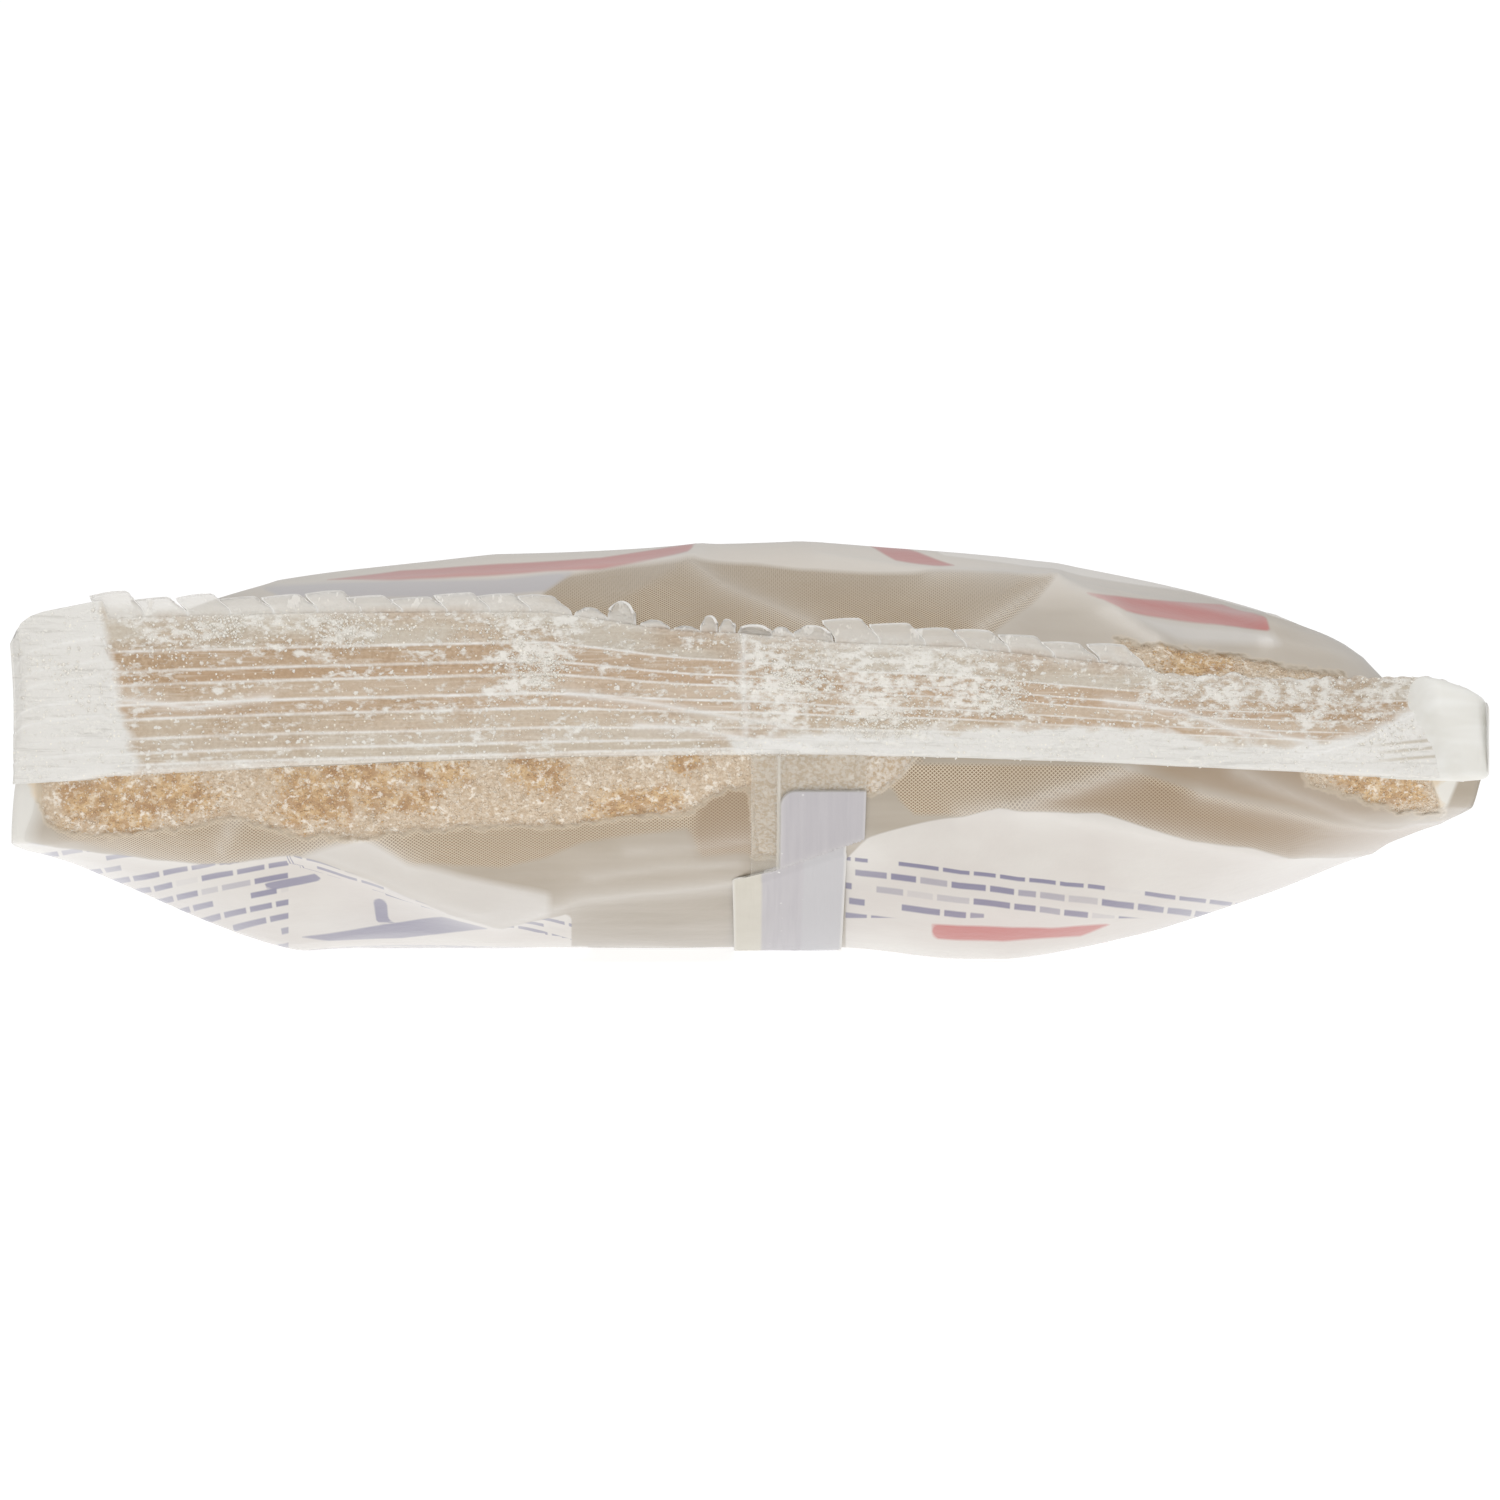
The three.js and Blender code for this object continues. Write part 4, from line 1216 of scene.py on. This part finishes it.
def sealMaterial():
    r = Recipe("crimped_film")
    where = r.place()
    chart = r.chart()

    def patches(along, up, detail=2.0, rough=0.5, turn=0.0):
        return r.noise(r.stretch(chart, along, up, 1, turn), 1, detail, rough)

    ramp = r.node("ShaderNodeValToRGB", Fac=r.field("rise"))
    ramp.color_ramp.elements[0].color = rampStop(0, sealShades["hem"])[1]
    ramp.color_ramp.elements[1].color = rampStop(1, sealShades["edge"])[1]
    for at, shade in bandStops():
        ramp.color_ramp.elements.new(at).color = shade
    fine = r.noise(where, 2400, 2, 0.6)
    # Painted highlight on the crimped ridges, uneven along the band and weaker to the right
    unevenRidge = r.span(patches(26, 110, 4, 0.6), 0.4, 0.62, 0.12, 1.0)
    ridge = r.times(ramp.outputs["Alpha"], unevenRidge, r.field("crisp"))
    brown = r.between(r.span(fine, 0.4, 0.6), sealShades["brown"])
    colour = r.blend(r.span(patches(9, 20), 0.45, 0.62, 0, 0.6), ramp.outputs["Color"], brown)
    colour = r.paint(r.span(fine, 0.35, 0.65, 0.22, 0), colour, sealShades["specks"])
    colour = r.paint(r.span(patches(16, 300, 3, 0.55), 0.52, 0.72, 0, 0.45), colour, sealShades["streak"])
    tab = r.field("tab")
    colour = r.paint(r.span(tab, 0.45, 0.75), colour, sealShades["tab"])

    # Frosted places are white, with painted greyish shade in their crimps
    frost = r.span(r.sum("ADD", r.field("frost"), r.sway(patches(40, 70, 3), 2.6)), -0.5, 0.5)
    paintedCrimpShade = r.span(patches(20, 210, 3, 0.6), 0.54, 0.68, 0, 0.65)
    colour = r.blend(r.times(frost, 0.95), colour, r.between(paintedCrimpShade, sealShades["frost"]))
    # Painted highlight along the pleats and the crimped ridges; the same white lines the tab rims
    line = r.field("line")
    colour = r.paint(r.most(ridge, r.times(line, 0.85)), colour, sealShades["crease"])
    colour = r.paint(r.field("slit"), colour, sealShades["slit"])

    # Dust lies in soft flecks, in lumps, and in tiny bright grains
    onBand = r.span(tab, 0.85, 0.5, 0.4, 1.0)
    fleck = r.sum("ADD", patches(84, 140, 4, 0.62), r.span(r.field("dust"), -2, 1.5, 0.0, 0.16))
    fleck = r.sum("ADD", fleck, r.sway(patches(20, 55), 0.6))
    fleck = r.times(r.span(fleck, 0.55, 0.72, 0, 0.88), onBand)
    lumps = r.cells(r.stretch(chart, 120, 175))
    lump = r.span(r.sum("ADD", lumps["Distance"], r.sway(patches(400, 400), 0.9)), 0.36, 0.24)
    chosen = r.sum("GREATER_THAN", r.split(lumps["Color"])[0], 0.45)
    lump = r.times(lump, chosen, r.span(patches(14, 75), 0.48, 0.58), onBand)
    fleck = r.most(fleck, r.times(lump, 0.85))
    colour = r.paint(fleck, colour, sealShades["dust"])
    spots = r.cells(r.stretch(chart, 260, 260))
    kept = r.sum("GREATER_THAN", r.split(spots["Color"])[0], 0.78)
    kept = r.times(kept, onBand, r.span(patches(30, 100), 0.42, 0.56, 0.1, 1.0))
    spot = r.times(r.span(spots["Distance"], 0.34, 0.18), kept)
    colour = r.paint(r.times(spot, 0.85), colour, sealShades["grain"])

    crumpled = r.span(patches(60, 34, 3, 0.6, 0.4), 0.5, 0.62)
    alpha = r.most(
        r.span(tab, 0.5, 0.8, 0.96, 0.46),
        r.times(line, 0.95),
        r.times(r.most(crumpled, fleck), 0.85),
    )
    material = r.finish(colour, alpha, 0.33, r.sum("ADD", fleck, fine), 0.0002, 0.5)
    r.shader.inputs["IOR"].default_value = 1.5
    return material


sealLook = sealMaterial()
sealGrids = {}
for name, end in (("near_seal", -1), ("far_seal", 1)):
    piece, points, fields = makeSeal(name, end)
    bpy.ops.object.select_all(action="DESELECT")
    for tab in makeTabs(name, end):
        tab.select_set(True)
    piece.select_set(True)
    bpy.context.view_layer.objects.active = piece
    bpy.ops.object.join()
    thicken(piece, band["thickness"])
    piece.data.shade_smooth()
    piece.data.materials.clear()
    piece.data.materials.append(sealLook)
    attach(piece, "root")
    sealGrids[name] = (points, fields)
    print(name, "made:", len(piece.data.polygons), "faces")


bunch = {
    "start": 64.0,
    "top": [(60, 28.7), (66, 29.0), (68.6, 29.5), (70.3, 29.2), (72.9, 28.3), (74.6, 27.3), (75.2, 26.4)],
    "bottom": [(60, 19.5), (66, 19.0), (72.3, 18.8), (74.8, 19.0), (75.2, 19.3)],
    "rows": 90,
    "columns": 96,
    "rounding": 1.2,    # length over which its right end closes
    "pleatDepth": 0.16,
    "shades": ((228, 226, 219), (236, 235, 230)),
    "shadow": (216, 212, 203),
}


# The gathered right end of a seal: the band swells into a bunch of pleats
def makeGather(name, end):
    t = np.linspace(0, 1, bunch["rows"])[:, None]
    angle = np.linspace(0, 2 * math.pi, bunch["columns"] + 1)[None, :-1]
    finish = gather["x"] + gather["width"] / 2
    x = mix(bunch["start"], finish, np.sin(t * math.pi / 2))
    top = np.interp(x, *zip(*bunch["top"]))
    bottom = np.interp(x, *zip(*bunch["bottom"]))
    rounding = bunch["rounding"]
    closing = np.sqrt(1 - np.clip((x - finish + rounding) / (rounding + 0.05), 0, 1) ** 2)
    side, up = np.cos(angle), np.sin(angle)
    side = np.sign(side) * np.abs(side) ** 0.5
    up = np.sign(up) * np.abs(up) ** 0.5
    z = (top + bottom) / 2 + up * (top - bottom) / 2 * (0.86 + 0.14 * closing)
    swellFrom = mix(68.4, 65.8, smooth(21, 27, z))    # it starts further left at the top
    grown = smooth(swellFrom, swellFrom + 4.5, x)
    depth = mix(0.1, gather["depth"] / 2, grown) * closing
    pleat = (1 - np.abs(waves(z * 0.5, x * 0.22, 61 + end, 0.7, 1.8))) * grown
    middle = bag["bodyHalf"] - sealLean(x, z) - seal["bite"] + mix(band["face"] - 0.5, 0.2, grown)
    pleated = np.abs(side) * bunch["pleatDepth"] * pleat
    y = end * (middle - end * side * depth + pleated * np.sign(-end * side))
    points = np.stack([x + 0 * z, y, z], -1)
    piece = sheetPiece(name, points, closed=True)
    closeTube(piece)
    return piece


def gatherMaterial():
    r = Recipe("gathered_film")
    where = r.place()
    streak = r.noise(r.stretch(where, 90, 400, 500), 1)
    colour = r.between(r.span(streak, 0.4, 0.65), bunch["shades"])
    colour = r.paint(r.span(r.noise(where, 260), 0.58, 0.75, 0, 0.3), colour, bunch["shadow"])
    return r.finish(colour, None, 0.45, streak, 0.0002, 0.3)


gatherLook = gatherMaterial()
for name, end in (("near_gather", -1), ("far_gather", 1)):
    piece = makeGather(name, end)
    piece.data.materials.append(gatherLook)
    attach(piece, "root")


dust = {
    "grains": 8000,
    "size": (0.07, 0.18),    # the least, and what the largest grains have more
    "shades": ((238, 232, 220), (250, 248, 243)),
}


# Fine dust of crumbs on the near seal
def sealDust():
    points, fields = sealGrids["near_seal"]
    patch = smooth(-2.5, 1.0, fields["dust"])
    cloud = smooth(0.2, 1.2, waves(points[..., 0] * 0.35, points[..., 2] * 0.6, 71, 0.5, 1.8))
    weight = (0.15 + 0.85 * patch) * (0.25 + cloud)
    places = spread(points, weight, dust["grains"], 72)[0]
    draw = np.random.default_rng(73)
    least, more = dust["size"]
    sizes = least + more * draw.random(len(places)) ** 3
    places[:, 1] -= 0.2 * sizes
    return scatter("crumb_dust", places, sizes, 74)


dustPiece = sealDust()
r = Recipe("crumb_dust")
dustPiece.data.materials.append(r.finish(r.between(r.noise(r.place(), 900), dust["shades"]), None, 0.7))
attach(dustPiece, "root")
print("seals and dust made")


lap = {
    "x": 4.1,
    "width": 11.9,
    "lift": 0.18,           # how far it stands off the film
    "wall": 0.15,
    "shift": 1.9,           # where the fold above the flat back pushes it sideways
    "openEdge": 3.0,        # width of the clear strip along its left edge
    "lilacTop": 17.9,
    "foldHeight": 10.0,
    "foldSlopes": (0.22, 0.36),    # of the fold, on the clear strip and right of it
    "paleFrom": 7.4,
    "columns": 70,
    "rows": (200, 40, 30),
    "strip": ((216, 211, 198), (208, 202, 188)),
    "lilac": ((182, 178, 182), (199, 195, 197)),
    "speck": (232, 230, 228),
    "pale": (195, 193, 195),
    "line": (234, 231, 225),
}


def lapSeam():
    across = np.linspace(0, lap["width"], lap["columns"])[None, :]
    lapRows = lengthRows(*lap["rows"])
    base = filmPoints(np.full((1, 1), lap["x"] / bag["sealHalf"]), lapRows, np.zeros((1, 1), bool))
    stripSlope, lilacSlope = lap["foldSlopes"]
    fromStrip = across - lap["openEdge"]
    foldAt = lap["foldHeight"] + np.where(fromStrip > 0, lilacSlope, stripSlope) * fromStrip
    seen = seenAt(base)[1]
    above = smooth(-0.35, 0.35, seen - foldAt) * (base[..., 1] < 0)
    x = lap["x"] - lap["width"] / 2 + lap["shift"] * above + across
    points = filmPoints(x / bag["sealHalf"], lapRows, np.zeros(x.shape, bool))
    normal = gridNormals(points, False)
    lifted = lap["lift"] + 0.12 * (1 - np.abs(waves(points[..., 0] * 0.6, points[..., 1] * 0.1, 81, 0.6, 1.6)))
    lifted = lifted + 0.25 * above * np.exp(-np.abs(seen - foldAt) / 0.5)
    points = points + normal * lifted[..., None]
    points[..., 2] = np.maximum(points[..., 2], 0.0)
    viewZ = seenAt(points)[1]
    onShoulder = points[..., 1] < -flatEnd
    corner = boxDepth(across + 0 * viewZ, viewZ, (lap["openEdge"], -20), (lap["width"] + 9, lap["lilacTop"]), 1.6)
    edge = np.minimum(across, lap["width"] - across) + 0 * seen
    line = np.exp(-np.abs(fromStrip + 0.15) / 0.16) * above
    fields = {
        "edge": smooth(0.3, 0.0, edge) * (0.35 + 0.65 * (above < 0.5)),
        "line": np.maximum(line, np.exp(-np.abs(seen - foldAt) / 0.22) * onShoulder * 0.9),
        "lower": 1 - above,
        "lilac": np.where(onShoulder, corner, fromStrip),
        "pale": np.where(above > 0.5, farOutside, across - lap["paleFrom"]),
    }
    steps = np.linalg.norm(np.diff(points, axis=0), axis=-1)
    run = np.concatenate([np.zeros((1, points.shape[1])), np.cumsum(steps, axis=0)])
    chart = np.stack([points[..., 0], run], -1) * chartScale
    return sheetPiece("lap_seam", points, chart=chart, fields=fields)


def lapMaterial():
    r = Recipe("lap_seam_film")
    chart = r.chart()
    stripe = r.noise(r.stretch(chart, 160, 6), 1)
    inLilac = r.span(r.field("lilac"), -0.15, 0.15)
    strip = r.between(r.noise(r.place(), 500, 3), lap["strip"])
    specks = r.cells(chart, 90.0)
    speck = r.sum("GREATER_THAN", r.split(specks["Color"])[0], 0.6)
    speck = r.times(speck, r.span(specks["Distance"], 0.16, 0.10))
    lilac = r.paint(speck, r.between(stripe, lap["lilac"]), lap["speck"])
    lilac = r.paint(r.span(r.field("pale"), -0.2, 0.2), lilac, lap["pale"])
    edges = r.most(r.field("edge"), r.field("line"))
    colour = r.paint(edges, r.blend(inLilac, strip, lilac), lap["line"])
    alpha = r.most(r.times(inLilac, 0.93), r.times(r.field("lower"), 0.92), r.times(edges, 0.8), 0.12)
    return r.finish(colour, alpha, 0.35, stripe, 0.0003, 0.3)


lapPiece = lapSeam()
thicken(lapPiece, lap["wall"])
lapPiece.data.shade_smooth()
lapPiece.data.materials.append(lapMaterial())
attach(lapPiece, "root")
print("lap seam made")


# The stage: a white floor, a white surround, three lamps and the camera
studio = {
    "floorSize": 6,
    "floorTone": 0.35,
    "floorGlow": 0.86,
    "surround": 0.51,    # how brightly the surround lights the bag
    "backdrop": 1.05,    # how bright it is where the camera sees it
    # Name, place, size and power
    "lamps": [
        ("key", (-0.5, -0.9, 0.9), 0.7, 2.25),
        ("fill", (0.9, -0.7, 0.5), 0.8, 1.1),
        ("top", (0.0, -0.3, 1.2), 0.9, 4.4),
    ],
    "sensorWidth": 36,
    "photoWidth": 1500,
}
white = (1, 1, 1, 1)

bpy.ops.mesh.primitive_plane_add(size=studio["floorSize"])
floor = bpy.context.object
floor.name = "floor"
r = Recipe("floor")
tone = studio["floorTone"]
floor.data.materials.append(r.finish((tone, tone, tone, 1), None, 0.9))
r.shader.inputs["Specular IOR Level"].default_value = 0
r.shader.inputs["Emission Color"].default_value = white
r.shader.inputs["Emission Strength"].default_value = studio["floorGlow"]

world = bpy.data.worlds.new("studio")
bpy.context.scene.world = world
world.use_nodes = True
tree = world.node_tree
surround = tree.nodes["Background"]
backdrop = tree.nodes.new("ShaderNodeBackground")
for background, strength in ((surround, studio["surround"]), (backdrop, studio["backdrop"])):
    background.inputs["Color"].default_value = white
    background.inputs["Strength"].default_value = strength
choice = tree.nodes.new("ShaderNodeMixShader")
path = tree.nodes.new("ShaderNodeLightPath")
tree.links.new(path.outputs["Is Camera Ray"], choice.inputs[0])
tree.links.new(surround.outputs[0], choice.inputs[1])
tree.links.new(backdrop.outputs[0], choice.inputs[2])
tree.links.new(choice.outputs[0], tree.nodes["World Output"].inputs[0])

for name, place, size, power in studio["lamps"]:
    data = bpy.data.lights.new(name, "AREA")
    data.size = size
    data.energy = power
    lamp = bpy.data.objects.new(name, data)
    lamp.location = place
    bpy.context.collection.objects.link(lamp)
    aim = -lamp.location.normalized()
    lamp.rotation_mode = "QUATERNION"
    lamp.rotation_quaternion = aim.to_track_quat("-Z", "Y")

cameraData = bpy.data.cameras.new("camera")
camera = bpy.data.objects.new("camera", cameraData)
bpy.context.collection.objects.link(camera)
cameraData.sensor_width = studio["sensorWidth"]
cameraData.lens = studio["sensorWidth"] * lens["away"] * lens["pixelsPerMm"] / studio["photoWidth"]
camera.location = (lens["x"] * mm, -(lens["away"] + lens["behind"]) * mm, lens["height"] * mm)
camera.rotation_euler = (math.radians(90), 0, 0)
cameraData.clip_start = 0.01
bpy.context.scene.camera = camera
bpy.context.scene.view_settings.view_transform = "Standard"
